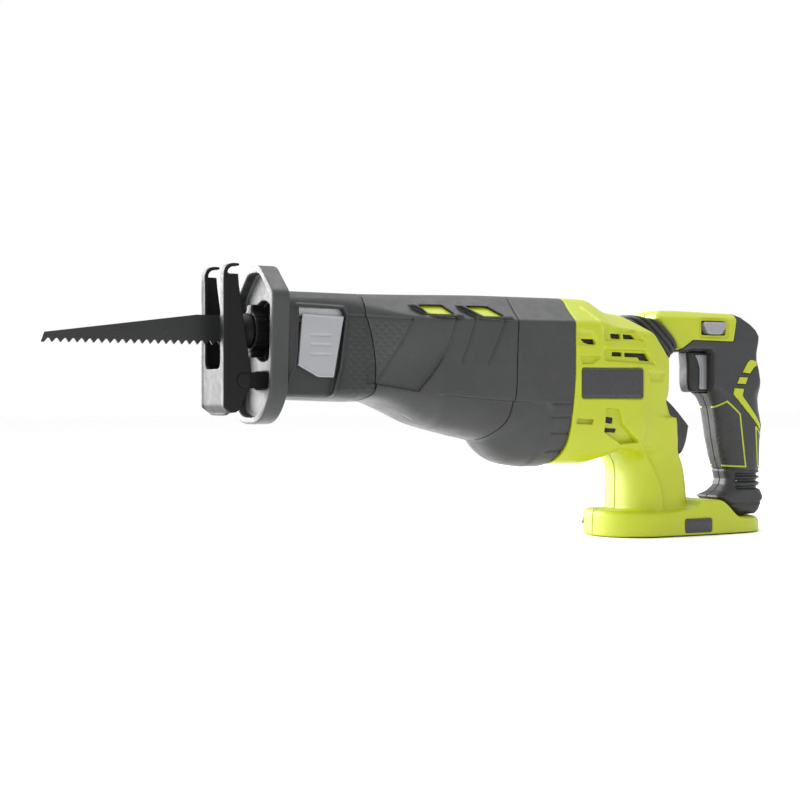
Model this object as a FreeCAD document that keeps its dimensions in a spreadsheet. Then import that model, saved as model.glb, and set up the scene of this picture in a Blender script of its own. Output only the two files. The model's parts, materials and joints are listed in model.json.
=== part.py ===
"""Cordless reciprocating saw with a D-handle, battery not fitted.

+X points to the rear of the tool, +Z up, and the blade points along -X.
The origin is the centre of the battery socket on the underside of the base.
"""
import FreeCAD
import Part
import math
import os
import Sketcher

os.makedirs("parts", exist_ok=True)
doc = FreeCAD.newDocument("reciprocating_saw")

# --------------------------------------------------------------------------
# Driving dimensions, in millimetres and degrees
# --------------------------------------------------------------------------
DIMENSIONS = {
    # stroke and drive
    "axis_z": 140.0,            # height of the plunger axis
    "stroke": 22.0,
    "rest_turn": 52.5,          # crank angle at rest, from the middle of the stroke
    "rod_r": 9.0,
    "rod_front": -312.0,
    "rod_rear": -134.0,
    "tail_r": 6.0,
    "crank_x": -188.0,          # upright axis of the crank gear
    "gear_r": 28.0,
    "gear_low": 118.6,
    "gear_high": 126.0,
    "pin_r": 3.0,
    "roller_r": 5.0,
    "yoke_low": 130.0,
    "yoke_high": 146.0,
    "crank_shaft_r": 5.0,
    "motor_z": 112.0,           # height of the motor axis
    "shaft_r": 2.5,
    "can_r": 23.0,
    "can_front": -70.0,
    "can_rear": -12.0,
    "fan_x": -90.0,
    "fan_r": 26.0,
    "fit": 0.05,                # radial running clearance
    "gap": 0.2,                 # gap between neighbouring shells
    # blade, clamp and shoe
    "blade_tip": -439.0,
    "blade_edge": 130.9,
    "blade_t": 1.25,
    "tooth_pitch": 5.08,        # five teeth to the inch
    "tooth_depth": 2.4,
    "collar_r": 13.0,
    "collar_x": -306.0,
    "collar_len": 10.0,
    "lug_reach": 16.8,
    "shoe_face": -330.4,
    "shoe_t": 2.4,
    "shoe_half": 19.5,
    "shoe_low": 88.0,
    "shoe_top": 180.0,
    "slot_half": 12.8,
    "pivot_x": -317.0,
    "pivot_z": 108.7,
    "pivot_r": 2.5,
    # nose guard and neck
    "guard_front": -303.0,
    "guard_rear": -291.0,
    "guard_half": 29.0,
    "guard_low": 81.0,
    "guard_top": 181.5,
    "cavity_r": 19.5,           # room in the nose for the clamp collar
    "neck_half": 27.5,
    "neck_low": 95.7,
    "neck_top": 165.2,
    "neck_rear": -229.0,
    # gear cover, middle cover and motor barrel
    "skin": 3.0,                # thickness of the soft covers
    "cover_top": 167.5,
    "cover_half": 38.0,
    "crank_half": 31.4,         # half width beside the crank
    "shoulder_z": 149.6,        # crease where the flank turns into the roof
    "train_half": 24.0,         # half width of the gear case low down
    "train_shelf": 97.0,        # above this height the gear case is full width
    "train_low": 78.0,          # underside of the gear case behind the bulge
    "belly_x": -196.0,
    "belly_z": 80.4,
    "bulge_x": -147.5,
    "bulge_z": 67.8,
    "bulge_low": 51.0,
    "seam_x": -122.0,           # joint between gear cover and middle cover
    "case_rear": -112.0,
    "barrel_front": -80.0,
    "barrel_half": 38.0,
    "barrel_rear": 11.0,
    "wall": 2.6,
    # battery column and base
    "column_front": -25.0,
    "column_rear": 27.0,
    "column_half": 28.0,
    "socket_front": -21.0,
    "socket_rear": 21.0,
    "socket_half": 22.0,
    "socket_top": 62.0,
    "base_front": -42.5,
    "base_rear": 99.2,
    "base_half": 36.5,
    "base_z": 17.0,
    "base_step": 11.0,
    # handle
    "handle_half": 17.0,
    "grip_half": 18.5,
    "handle_top": 161.4,
    "handle_wall": 2.4,
    "foot_x": 86.0,             # flex pivot at the foot of the handle
    "foot_z": 18.0,
    "trigger_x": 38.0,
    "trigger_low": 102.0,
    "trigger_high": 132.0,
    "trigger_half": 8.5,
    "button_x": 54.0,
    "button_z": 149.0,
    "button_travel": 3.0,
    # release lever
    "lever_y": -26.0,
    "lever_z": 148.0,
}

sheet = doc.addObject("Spreadsheet::Sheet", "dims")
for row, (alias, number) in enumerate(DIMENSIONS.items(), start=1):
    sheet.set(f"A{row}", alias)
    sheet.set(f"B{row}", str(number))
    sheet.setAlias(f"B{row}", alias)
doc.recompute()


class Dim:
    """A number that also remembers the sheet expression it came from."""

    def __init__(self, value, text):
        self.value = value
        self.text = text

    def _join(self, other, sign, value):
        other = as_dim(other)
        return Dim(value, f"({self.text} {sign} {other.text})")

    def __add__(self, other):
        return self._join(other, "+", self.value + as_dim(other).value)

    def __sub__(self, other):
        return self._join(other, "-", self.value - as_dim(other).value)

    def __mul__(self, other):
        return self._join(other, "*", self.value * as_dim(other).value)

    def __truediv__(self, other):
        return self._join(other, "/", self.value / as_dim(other).value)

    def __neg__(self):
        return Dim(-self.value, f"(0 - {self.text})")

    def __radd__(self, other):
        return as_dim(other) + self

    def __rsub__(self, other):
        return as_dim(other) - self

    def __rmul__(self, other):
        return as_dim(other) * self


def as_dim(number):
    """A plain number becomes a Dim with its own value as text."""
    if isinstance(number, Dim):
        return number
    return Dim(float(number), f"({float(number):.4f})")


class Sizes:
    """The cells of the sheet as attributes."""

    def __getattr__(self, alias):
        return Dim(DIMENSIONS[alias], f"dims.{alias}")


d = Sizes()
nodes = {}


# --------------------------------------------------------------------------
# Sketches and features
# --------------------------------------------------------------------------
def new_body(label):
    body = doc.addObject("PartDesign::Body", label)
    body.Label = label
    body.AllowCompound = True
    return body


def keep(shape_object, label):
    """Register a finished sub-part under its node name."""
    shape_object.Label = label
    nodes[label] = shape_object
    return shape_object


def sketch_on(body, plane, shift=0.0):
    """A sketch on one of the body's own origin planes, moved along its normal."""
    face = [f for f in body.Origin.OriginFeatures if f.Role == plane + "_Plane"][0]
    sketch = body.newObject("Sketcher::SketchObject", body.Name + "_sketch")
    sketch.AttachmentSupport = [(face, "")]
    sketch.MapMode = "FlatFace"
    shift = as_dim(shift)
    sketch.AttachmentOffset = FreeCAD.Placement(
        FreeCAD.Vector(0, 0, shift.value), FreeCAD.Rotation())
    sketch.setExpression("AttachmentOffset.Base.z", shift.text)
    return sketch


def hold(sketch, kind, geometry, point, number):
    """Fix one coordinate of a sketch point to an expression."""
    number = as_dim(number)
    index = sketch.addConstraint(
        Sketcher.Constraint(kind, -1, 1, geometry, point, number.value))
    sketch.setExpression(f"Constraints[{index}]", number.text)


def polygon(sketch, corners):
    """A closed outline of straight edges; each corner is held to the sheet."""
    first = sketch.GeometryCount
    spots = [FreeCAD.Vector(as_dim(a).value, as_dim(b).value, 0) for a, b in corners]
    count = len(spots)
    for i in range(count):
        edge = Part.LineSegment(spots[i], spots[(i + 1) % count])
        sketch.addGeometry(edge, False)
    for i in range(count):
        here = first + i
        after = first + (i + 1) % count
        sketch.addConstraint(Sketcher.Constraint("Coincident", here, 2, after, 1))
    for i, (a, b) in enumerate(corners):
        hold(sketch, "DistanceX", first + i, 1, a)
        hold(sketch, "DistanceY", first + i, 1, b)
    return sketch


def box_outline(sketch, a0, a1, b0, b1):
    return polygon(sketch, [(a0, b0), (a1, b0), (a1, b1), (a0, b1)])


def circle(sketch, a, b, radius):
    radius = as_dim(radius)
    centre = FreeCAD.Vector(as_dim(a).value, as_dim(b).value, 0)
    index = sketch.addGeometry(
        Part.Circle(centre, FreeCAD.Vector(0, 0, 1), radius.value), False)
    hold(sketch, "DistanceX", index, 3, a)
    hold(sketch, "DistanceY", index, 3, b)
    size = sketch.addConstraint(Sketcher.Constraint("Radius", index, radius.value))
    sketch.setExpression(f"Constraints[{size}]", radius.text)
    return sketch


def volume_of(body):
    doc.recompute()
    shape = body.Shape
    return 0.0 if shape.isNull() else shape.Volume


def grow(body, sketch, length, both=False, reverse=False):
    """Pad a sketch; both pads half the length to each side."""
    feature = body.newObject("PartDesign::Pad", body.Name + "_pad")
    feature.Profile = sketch
    feature.setExpression("Length", as_dim(length).text)
    feature.SideType = "Symmetric" if both else "One side"
    feature.Reversed = reverse
    return feature


def cut(body, sketch, length, both=False, reverse=False):
    """Pocket a sketch and make sure that material went away."""
    before = volume_of(body)
    feature = body.newObject("PartDesign::Pocket", body.Name + "_pocket")
    feature.Profile = sketch
    feature.setExpression("Length", as_dim(length).text)
    feature.SideType = "Symmetric" if both else "One side"
    feature.Reversed = reverse
    if volume_of(body) > before - 0.01:
        raise RuntimeError(f"{body.Label}: {feature.Name} cuts nothing")
    return feature


def round_edges(body, radius, wanted):
    """Fillet the edges whose middle and direction the test function accepts."""
    doc.recompute()
    base = body.Tip
    names = []
    for index, edge in enumerate(body.Shape.Edges, start=1):
        middle = edge.valueAt((edge.FirstParameter + edge.LastParameter) / 2)
        direction = edge.tangentAt(edge.FirstParameter)
        if wanted(middle, direction):
            names.append(f"Edge{index}")
    feature = body.newObject("PartDesign::Fillet", body.Name + "_fillet")
    feature.Base = (base, names)
    feature.setExpression("Radius", as_dim(radius).text)
    body.Tip = feature
    return feature


def disc(label, plane, centre, radius, start, length, bore=None):
    """A round piece or ring: centre in the plane, start and length along X, -Y or Z."""
    body = new_body(label)
    sketch = circle(sketch_on(body, plane, start), centre[0], centre[1], radius)
    if bore is not None:
        circle(sketch, centre[0], centre[1], bore)
    grow(body, sketch, length)
    return body


def block(label, x0, x1, y0, y1, z0, z1):
    body = new_body(label)
    grow(body, box_outline(sketch_on(body, "XY", z0), x0, x1, y0, y1), as_dim(z1) - z0)
    return body


def boolean(kind, label, base, tool):
    result = doc.addObject("Part::" + kind, label)
    result.Base = base
    result.Tool = tool
    return result


def mirrored_pair(label, source):
    """The piece and its mirror image across the middle plane, as one group."""
    image = doc.addObject("Part::Mirroring", label + "_image")
    image.Source = source
    image.Base = FreeCAD.Vector(0, 0, 0)
    image.Normal = FreeCAD.Vector(0, 1, 0)
    pair = doc.addObject("Part::Compound", label)
    pair.Links = [source, image]
    return keep(pair, label)


WIDE = 200.0        # longer than any cut across the tool
LONG = 900.0        # longer than the tool


# --------------------------------------------------------------------------
# Blade, plunger and clamp
# --------------------------------------------------------------------------
def make_blade():
    body = new_body("blade")
    neck = d.rod_front - 3.1
    profile = sketch_on(body, "XZ")
    polygon(profile, [
        (d.blade_tip, d.blade_edge),
        (neck, d.blade_edge),
        (neck + 3, d.axis_z - 6.3),
        (d.rod_front + 14, d.axis_z - 6.3),
        (d.rod_front + 14, d.axis_z + 6.3),
        (neck + 3, d.axis_z + 6.3),
        (neck, d.axis_z + 9.7),
        (neck - 26, d.axis_z + 9.5),
        (d.blade_tip + 2, d.blade_edge + 6),
    ])
    grow(body, profile, d.blade_t, both=True)
    hole = circle(sketch_on(body, "XZ"), d.rod_front + 7, d.axis_z, 2.2)
    cut(body, hole, 10, both=True)
    gullet = sketch_on(body, "XZ")
    first = d.blade_tip + 2
    polygon(gullet, [
        (first, d.blade_edge - 1),
        (first + d.tooth_pitch * 0.92, d.blade_edge - 1),
        (first + d.tooth_pitch * 0.92, d.blade_edge),
        (first + d.tooth_pitch * 0.62, d.blade_edge + d.tooth_depth),
        (first + d.tooth_pitch * 0.42, d.blade_edge + d.tooth_depth),
        (first, d.blade_edge),
    ])
    tooth = cut(body, gullet, 10, both=True)
    row = body.newObject("PartDesign::LinearPattern", "blade_teeth")
    row.Originals = [tooth]
    row.Direction = (gullet, ["H_Axis"])
    row.Mode = "Spacing"
    row.setExpression("Offset", d.tooth_pitch.text)
    row.Occurrences = 22
    body.Tip = row
    keep(body, "blade")


def make_plunger():
    """A round rod whose middle is a slotted yoke that the crank roller drives."""
    body = new_body("plunger_rod")
    yoke_half_x = 16.0
    yoke_half_y = 21.0
    yoke_x = d.crank_x + d.stroke * d.rest_turn / 180
    front_len = yoke_x - yoke_half_x + 1 - d.rod_front
    grow(body, circle(sketch_on(body, "YZ", d.rod_front), 0, d.axis_z, d.rod_r), front_len)
    yoke = sketch_on(body, "XY", d.yoke_low)
    box_outline(yoke, yoke_x - yoke_half_x, yoke_x + yoke_half_x,
                -yoke_half_y, yoke_half_y)
    grow(body, yoke, d.yoke_high - d.yoke_low)
    tail = sketch_on(body, "YZ", yoke_x + yoke_half_x - 1)
    circle(tail, 0, d.axis_z, d.tail_r)
    grow(body, tail, d.rod_rear - yoke_x - yoke_half_x + 1)
    # the roller slot is wider than the roller, because the crank and the
    # plunger are coupled at a constant rate instead of a sine
    slot = sketch_on(body, "XY", d.yoke_low - 5)
    slot_half = d.roller_r + 2.8
    box_outline(slot, yoke_x - slot_half, yoke_x + slot_half, -18, 18)
    cut(body, slot, 40, reverse=True)
    # blade slot and cross hole for the clamp pin
    blade_slot = sketch_on(body, "XZ")
    box_outline(blade_slot, d.rod_front - 1, d.rod_front + 14.2,
                d.axis_z - 6.4, d.axis_z + 6.4)
    cut(body, blade_slot, d.blade_t + 0.16, both=True)
    pin_hole = circle(sketch_on(body, "XZ"), d.rod_front + 7, d.axis_z, 2.0)
    cut(body, pin_hole, 40, both=True)
    keep(body, "plunger_rod")


def make_clamp():
    body = new_body("clamp_pin")
    pin = circle(sketch_on(body, "XZ"), d.rod_front + 7, d.axis_z, 1.98)
    grow(body, pin, d.rod_r * 2 - 0.4, both=True)
    keep(body, "clamp_pin")

    # collar with two finger lugs, turning on the rod
    body = new_body("clamp_collar")
    ring = sketch_on(body, "YZ", d.collar_x)
    circle(ring, 0, d.axis_z, d.collar_r)
    grow(body, ring, d.collar_len)
    lugs = sketch_on(body, "YZ", d.collar_x)
    box_outline(lugs, -4, 4, d.axis_z - d.lug_reach, d.axis_z + d.lug_reach)
    grow(body, lugs, d.collar_len - 1)
    bore = circle(sketch_on(body, "YZ", d.collar_x - 1), 0, d.axis_z, d.rod_r + d.fit)
    cut(body, bore, 30, reverse=True)
    keep(body, "clamp_collar")

    # torsion spring behind the collar: three closed turns of flat wire
    coils = new_body("clamp_spring")
    for turn in range(3):
        start = d.collar_x + d.collar_len + 0.3 + 1.1 * turn
        wire = circle(sketch_on(coils, "YZ", start), 0, d.axis_z, 11.4)
        circle(wire, 0, d.axis_z, d.rod_r + 0.1)
        grow(coils, wire, 1.1)
    keep(coils, "clamp_spring")


# --------------------------------------------------------------------------
# Shoe
# --------------------------------------------------------------------------
def make_shoe():
    """A bent steel shoe: slotted face, two side flanges and two curled prongs."""
    body = new_body("shoe")
    slot_low = d.axis_z - 24.4
    face = sketch_on(body, "YZ", d.shoe_face)
    polygon(face, [
        (-d.shoe_half, d.shoe_low),
        (d.shoe_half, d.shoe_low),
        (d.shoe_half, d.shoe_top - 4),
        (d.slot_half, d.shoe_top - 4),
        (d.slot_half, slot_low + 4),
        (d.slot_half - 4, slot_low),
        (-d.slot_half + 4, slot_low),
        (-d.slot_half, slot_low + 4),
        (-d.slot_half, d.shoe_top - 4),
        (-d.shoe_half, d.shoe_top - 4),
    ])
    grow(body, face, d.shoe_t)
    for side in (-1, 1):
        outside = sketch_on(body, "XZ", d.shoe_half if side < 0 else -d.shoe_half)
        polygon(outside, [
            (d.shoe_face, d.shoe_low),
            (d.shoe_face + 10.6, d.shoe_low + 1.6),
            (d.shoe_face + 18.2, d.shoe_low + 17),
            (d.shoe_face + 16.4, d.shoe_low + 37),
            (d.shoe_face + 12.8, d.shoe_low + 60),
            (d.shoe_face + 9.4, d.shoe_low + 86),
            (d.shoe_face + 1.2, d.shoe_low + 86.2),
            (d.shoe_face, d.shoe_top - 4),
        ])
        grow(body, outside, d.shoe_t, reverse=side < 0)
    hooks = sketch_on(body, "XZ")
    polygon(hooks, [
        (d.shoe_face, d.shoe_top - 4.5),
        (d.shoe_face + d.shoe_t, d.shoe_top - 4.5),
        (d.shoe_face + 7, d.shoe_top - 2.4),
        (d.shoe_face + 7, d.shoe_top),
        (d.shoe_face + 2.5, d.shoe_top),
        (d.shoe_face, d.shoe_top - 2),
    ])
    grow(body, hooks, d.shoe_half * 2, both=True)
    gap = sketch_on(body, "XY", d.shoe_top + 2)
    box_outline(gap, d.shoe_face - 2, d.shoe_face + 12, -d.slot_half, d.slot_half)
    cut(body, gap, 12)
    hole = circle(sketch_on(body, "XZ"), d.pivot_x, d.pivot_z, d.pivot_r + d.fit)
    cut(body, hole, WIDE, both=True)
    keep(body, "shoe")

    # post that carries the shoe, held in the nose of the gear case
    body = new_body("shoe_post")
    side = sketch_on(body, "XZ")
    polygon(side, [
        (d.pivot_x - 4, d.pivot_z - 5),
        (-262, d.pivot_z - 5),
        (-262, d.pivot_z + 5),
        (d.pivot_x, d.pivot_z + 5),
        (d.pivot_x - 4, d.pivot_z + 2),
    ])
    grow(body, side, 26, both=True)
    hole = circle(sketch_on(body, "XZ"), d.pivot_x, d.pivot_z, d.pivot_r)
    cut(body, hole, WIDE, both=True)
    keep(body, "shoe_post")

    # rivet with a head outside each flange
    body = new_body("shoe_rivet")
    shank = circle(sketch_on(body, "XZ"), d.pivot_x, d.pivot_z, d.pivot_r - 0.01)
    grow(body, shank, d.shoe_half * 2 + 0.4, both=True)
    for reverse in (False, True):
        place = d.shoe_half + 0.1
        head = sketch_on(body, "XZ", -place if reverse else place)
        circle(head, d.pivot_x, d.pivot_z, 4.5)
        grow(body, head, 1.8, reverse=reverse)
    keep(body, "shoe_rivet")


def screw_set(label, spots, head_r, head_t, shank_len):
    """Screws driven towards -Y, and the holes they sit in.

    Each spot is x, z and the y of the seat under the head.
    """
    screws = new_body(label)
    holes = new_body(label + "_holes")
    slack = 0.1
    for x, z, y in spots:
        grow(screws, circle(sketch_on(screws, "XZ", -y), x, z, head_r), head_t, reverse=True)
        grow(screws, circle(sketch_on(screws, "XZ", -y), x, z, head_r / 2), shank_len)
        grow(holes, circle(sketch_on(holes, "XZ", -y), x, z, head_r + slack), 40,
             reverse=True)
        grow(holes, circle(sketch_on(holes, "XZ", -y - slack), x, z, head_r / 2 + slack),
             shank_len + 2 * slack)
    keep(screws, label)
    return holes


# --------------------------------------------------------------------------
# Outer envelope: neck, gear cover and middle cover share one form
# --------------------------------------------------------------------------
def trim_shoulders(body, start, length, half, top, inset, flat=11.0, crease=0.0):
    """Slope the roof of a box-like form down to a crease at shoulder height.

    The roof is level for flat to each side; crease lifts the crease line.
    """
    section = sketch_on(body, "YZ", start)
    roof = flat - inset * 0.3
    low = d.shoulder_z + crease
    flank_drop = 6
    for side in (-1, 1):
        polygon(section, [
            (side * roof, top - inset),
            (side * (half - 1.5 - inset * 0.8), low - inset * 0.5),
            (side * (half - inset), low - flank_drop),
            (side * WIDE, low - flank_drop),
            (side * WIDE, WIDE),
            (side * roof, WIDE),
        ])
    cut(body, section, length, reverse=True)


def trim_belly(body, start, low, end, end_low, half, inset):
    """Bevel both bottom corners along a bottom line that runs straight but not level."""
    section = sketch_on(body, "YZ", start)
    for side in (-1, 1):
        polygon(section, [
            (side * 13.0, low + inset),
            (side * (half * 0.79 - inset * 0.7), low + 13 + inset * 0.7),
            (side * (half - inset), low + 34),
            (side * WIDE, low + 34),
            (side * WIDE, -WIDE),
            (side * 13.0, -WIDE),
        ])
    pocket = cut(body, section, as_dim(end) - start, reverse=True)
    pocket.UseCustomVector = True
    run = (as_dim(end) - start).value
    pocket.Direction = FreeCAD.Vector(-run, 0, as_dim(low).value - as_dim(end_low).value)
    pocket.AlongSketchNormal = True


def envelope(label, inset):
    """Neck and covers as a solid, drawn in by the inset on every side."""
    front = d.guard_rear + d.gap
    rear = d.barrel_front + 2
    body = new_body(label)
    side = sketch_on(body, "XZ")
    polygon(side, [
        (front, d.neck_low + inset),
        (d.neck_rear + 2, d.neck_low + inset),
        (d.belly_x, d.belly_z + inset),
        (d.bulge_x, d.bulge_z + inset),
        (d.bulge_x + 6, d.bulge_low + 8.6 + inset),
        (d.bulge_x + 19, d.bulge_low + 3.5 + inset),
        (d.bulge_x + 46, d.bulge_low + inset),
        (rear, d.bulge_low + inset),
        (rear, d.cover_top - inset),
        (d.crank_x, d.cover_top - 0.6 - inset),
        (d.neck_rear, d.neck_top - inset),
        (front, d.neck_top - inset),
    ])
    grow(body, side, (d.cover_half - inset) * 2, both=True)
    plan = sketch_on(body, "XY", 0)
    swell = d.cover_half - d.crank_half
    for sign in (-1, 1):
        polygon(plan, [
            (front - 1, sign * (d.neck_half - inset)),
            (d.neck_rear + 2, sign * (d.neck_half - inset)),
            (d.crank_x - 12, sign * (d.crank_half - inset)),
            (d.bulge_x, sign * (d.crank_half + swell * 0.45 - inset)),
            (d.barrel_front - 4, sign * (d.cover_half - inset)),
            (d.barrel_front - 4, sign * WIDE),
            (front - 1, sign * WIDE),
        ])
    cut(body, plan, WIDE, reverse=True)
    trim_shoulders(body, front - 1, d.neck_rear - front + 3, d.neck_half, d.neck_top,
                   inset, flat=17.0, crease=7.0)
    trim_shoulders(body, d.neck_rear + 2, d.crank_x - d.neck_rear - 8, d.crank_half + 1.5,
                   d.cover_top - 1, inset, flat=12.0, crease=1.0)
    trim_shoulders(body, d.crank_x - 6, LONG, d.cover_half, d.cover_top, inset)
    trim_belly(body, front - 1, d.neck_low, d.neck_rear + 2, d.neck_low, d.neck_half,
               inset)
    trim_belly(body, d.neck_rear + 2, d.neck_low, d.belly_x, d.belly_z, d.crank_half,
               inset)
    trim_belly(body, d.belly_x, d.belly_z, d.bulge_x, d.bulge_z,
               d.crank_half + swell * 0.45, inset)
    trim_belly(body, d.bulge_x, d.bulge_low, rear + 1, d.bulge_low, d.cover_half, inset)
    doc.recompute()
    return body


def slab(label, x0, x1, y0=-WIDE, y1=WIDE):
    """Everything between two stations, from well below to well above the tool."""
    return block(label, x0, x1, y0, y1, -WIDE, WIDE)


def make_covers():
    """Soft covers over the gear case: guard, neck, gear cover and middle cover."""
    outer = envelope("cover_envelope", 0)
    inner = envelope("case_envelope", d.skin + d.gap)

    spans = {
        "neck_boot": (d.guard_rear, d.neck_rear),
        "gear_boot": (d.neck_rear + d.gap, d.seam_x),
        "mid_boot": (d.seam_x + d.gap, d.barrel_front),
    }
    skins = {}
    for label, (x0, x1) in spans.items():
        part = boolean("Common", label + "_solid", outer, slab(label + "_span", x0, x1))
        skins[label] = part

    # window through the neck for the release lever
    window = new_body("lever_window")
    around = sketch_on(window, "XZ", 10)
    polygon(around, [(-285.4, 117), (-270.6, 108.8), (-258.6, 108.8),
                     (-251.2, 152.2), (-281.8, 153.8)])
    grow(window, around, 40)
    hinge_line = circle(sketch_on(window, "YZ", -290), d.lever_y, d.lever_z, 0.85)
    grow(window, hinge_line, 43)
    neck = boolean("Cut", "neck_tube", skins["neck_boot"], inner)
    keep(boolean("Cut", "neck_boot", neck, window), "neck_boot")

    # bright window inserts on the two shoulders of the gear cover
    gear = boolean("Cut", "gear_tube", skins["gear_boot"], inner)
    frames = new_body("window_frames")
    for x0 in (-199, -164):
        for side in (-1, 1):
            hole = sketch_on(frames, "XY", 151.3)
            box_outline(hole, x0, x0 + 22, side * 14, side * 50)
            grow(frames, hole, 7.4)
    keep(boolean("Cut", "gear_boot", gear, frames), "gear_boot")
    panes = new_body("window_panes")
    for x0 in (-199, -164):
        for side in (-1, 1):
            area = sketch_on(panes, "XY", 151.5)
            box_outline(area, x0 + 0.2, x0 + 21.8, side * 14.2, side * 50)
            grow(panes, area, 7.0)
    keep(boolean("Common", "shoulder_windows", gear, panes), "shoulder_windows")
    keep(boolean("Cut", "mid_boot", skins["mid_boot"], inner), "mid_boot")

    # guard: a thick rubber flange with a recessed face and a round opening
    guard = new_body("nose_guard")

    def flange(at, inset):
        return polygon(sketch_on(guard, "YZ", at), [
            (-10, d.guard_top - inset),
            (-d.guard_half + inset, d.guard_top - 16 - inset * 0.4),
            (-d.guard_half + inset, d.guard_low + 19),
            (-20 + inset, d.guard_low + 5 + inset),
            (-9, d.guard_low + inset),
            (9, d.guard_low + inset),
            (20 - inset, d.guard_low + 5 + inset),
            (d.guard_half - inset, d.guard_low + 19),
            (d.guard_half - inset, d.guard_top - 16 - inset * 0.4),
            (10, d.guard_top - inset),
        ])

    grow(guard, flange(d.guard_front, 0), d.guard_rear - d.guard_front)
    cut(guard, flange(d.guard_front - 1, 5), 8, reverse=True)
    opening = sketch_on(guard, "YZ", d.guard_front)
    circle(opening, 0, d.axis_z, d.cavity_r)
    cut(guard, opening, 50, reverse=True)
    passage = sketch_on(guard, "YZ", d.guard_front)
    box_outline(passage, -13.2, 13.2, d.pivot_z - 5.2, d.pivot_z + 5.2)
    cut(guard, passage, 50, reverse=True)
    keep(guard, "nose_guard")
    return inner


# --------------------------------------------------------------------------
# Gear case, its inside and its guides
# --------------------------------------------------------------------------
def belly_limit(label, wall):
    """Space beside and under the gear train that the case leaves free."""
    free = new_body(label)
    front, rear = d.neck_rear + 2, d.case_rear + 1
    for side in (-1, 1):
        corner = sketch_on(free, "YZ", front)
        box_outline(corner, side * (d.train_half - wall), side * WIDE, -WIDE,
                    d.train_shelf + wall)
        grow(free, corner, rear - front)
    under = sketch_on(free, "YZ", d.bulge_x - 3 - wall)
    box_outline(under, -d.crank_half, d.crank_half, -WIDE, d.train_low + wall)
    grow(free, under, rear - d.bulge_x + 3 + wall)
    return free


def make_gear_case(core):
    hollow = new_body("case_hollow")
    front = d.guard_rear - 1

    def bore(radius, z, x0, x1):
        grow(hollow, circle(sketch_on(hollow, "YZ", x0), 0, z, radius), as_dim(x1) - x0)

    bore(d.cavity_r, d.axis_z, front, -277)
    bore(13.0, d.axis_z, -278, -271)
    bore(12.5, d.axis_z, -271.5, -250)
    bore(d.rod_r + 0.6, d.axis_z, -250.5, -214)
    bore(9.5, d.axis_z, -160, -148)
    bore(d.tail_r + 0.6, d.axis_z, -149, -119)
    bore(7.2, d.motor_z, -164, -154)
    bore(8.0, d.motor_z, -154.5, -149)
    bore(7.2, d.motor_z, -149.5, d.case_rear + 1)
    chamber = sketch_on(hollow, "XY", 128.9)
    box_outline(chamber, -218, -158, -22.6, 22.6)
    grow(hollow, chamber, 19.6)
    well = circle(sketch_on(hollow, "XY", 104), d.crank_x, 0, 27.0)
    grow(hollow, well, 25)
    seats = circle(sketch_on(hollow, "XY", 88), d.crank_x, 0, 9.0)
    grow(hollow, seats, 17)
    slot = sketch_on(hollow, "YZ", front)
    box_outline(slot, -13.05, 13.05, d.pivot_z - 5.05, d.pivot_z + 5.05)
    grow(hollow, slot, 31)
    # room for the top edge of the release lever as it swings
    swing = sketch_on(hollow, "XZ", 22.4)
    box_outline(swing, -288, -249, 144, 154)
    grow(hollow, swing, 8)
    doc.recompute()

    # thin walls: two large rooms divided by the bulkhead that holds the rear guides
    body_slab = slab("case_span", d.guard_rear, d.case_rear)
    case = boolean("Common", "case_block", core, body_slab)
    case = boolean("Cut", "case_solid", case, belly_limit("case_limit", 0))
    rooms = new_body("case_rooms")
    for x0, x1 in ((-247, -162), (-145, -115)):
        area = sketch_on(rooms, "XY", -WIDE)
        box_outline(area, x0, x1, -WIDE, WIDE)
        grow(rooms, area, 2 * WIDE)
    room = boolean("Common", "case_room_block", envelope("room_envelope", 6.2), rooms)
    room = boolean("Cut", "case_room", room, belly_limit("room_limit", 3.0))
    case = boolean("Cut", "case_walls", case, room)
    boss = new_body("crank_boss")
    grow(boss, circle(sketch_on(boss, "XY", 84), d.crank_x, 0, 12.0), 20)
    boss = boolean("Common", "crank_boss_inside", boss, core)
    case = boolean("Fuse", "case_with_boss", case, boss)
    case = boolean("Cut", "case_shell", case, hollow)

    spots = [(-252, 107, 12), (-258, 119, 18), (-152, 154, 11), (-152, 101, 23),
             (-154, 86, 15)]
    holes = screw_set("gear_case_screws", spots, 3.0, 2.4, 26)
    case = boolean("Cut", "case_drilled", case, holes)
    for label, y0, y1 in (("gear_case_left", -WIDE, 0), ("gear_case_right", 0, WIDE)):
        half = slab(label + "_span", -LONG, LONG, y0, y1)
        keep(boolean("Common", label, case, half), label)

    keep(disc("plunger_seal", "YZ", (0, d.axis_z), 13.0, -277, 5, bore=d.rod_r + d.fit),
         "plunger_seal")
    keep(disc("front_bushing", "YZ", (0, d.axis_z), 12.5, -270, 20, bore=d.rod_r + d.fit),
         "front_bushing")
    keep(disc("rear_bushing", "YZ", (0, d.axis_z), 9.5, -158, 10, bore=d.tail_r + d.fit),
         "rear_bushing")


# --------------------------------------------------------------------------
# Crank drive; each round piece is drawn about its own axis, then placed
# --------------------------------------------------------------------------
def place_on_crank(body, turned=False):
    """Put a piece on the crank's axis; what carries the pin is turned to rest."""
    if turned:
        body.setExpression("Placement.Rotation.Angle", d.rest_turn.text)
    body.setExpression("Placement.Base.x", d.crank_x.text)


def place_on_motor(body):
    body.setExpression("Placement.Base.z", d.motor_z.text)


GEAR_TEETH = 32
PINION_TEETH = 8


def spin(body, feature, sketch, count):
    """Repeat a feature round the sketch's own normal."""
    pattern = body.newObject("PartDesign::PolarPattern", body.Name + "_ring")
    pattern.Originals = [feature]
    pattern.Axis = (sketch, ["N_Axis"])
    pattern.Angle = 360
    pattern.Occurrences = count
    body.Tip = pattern
    return pattern


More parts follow.
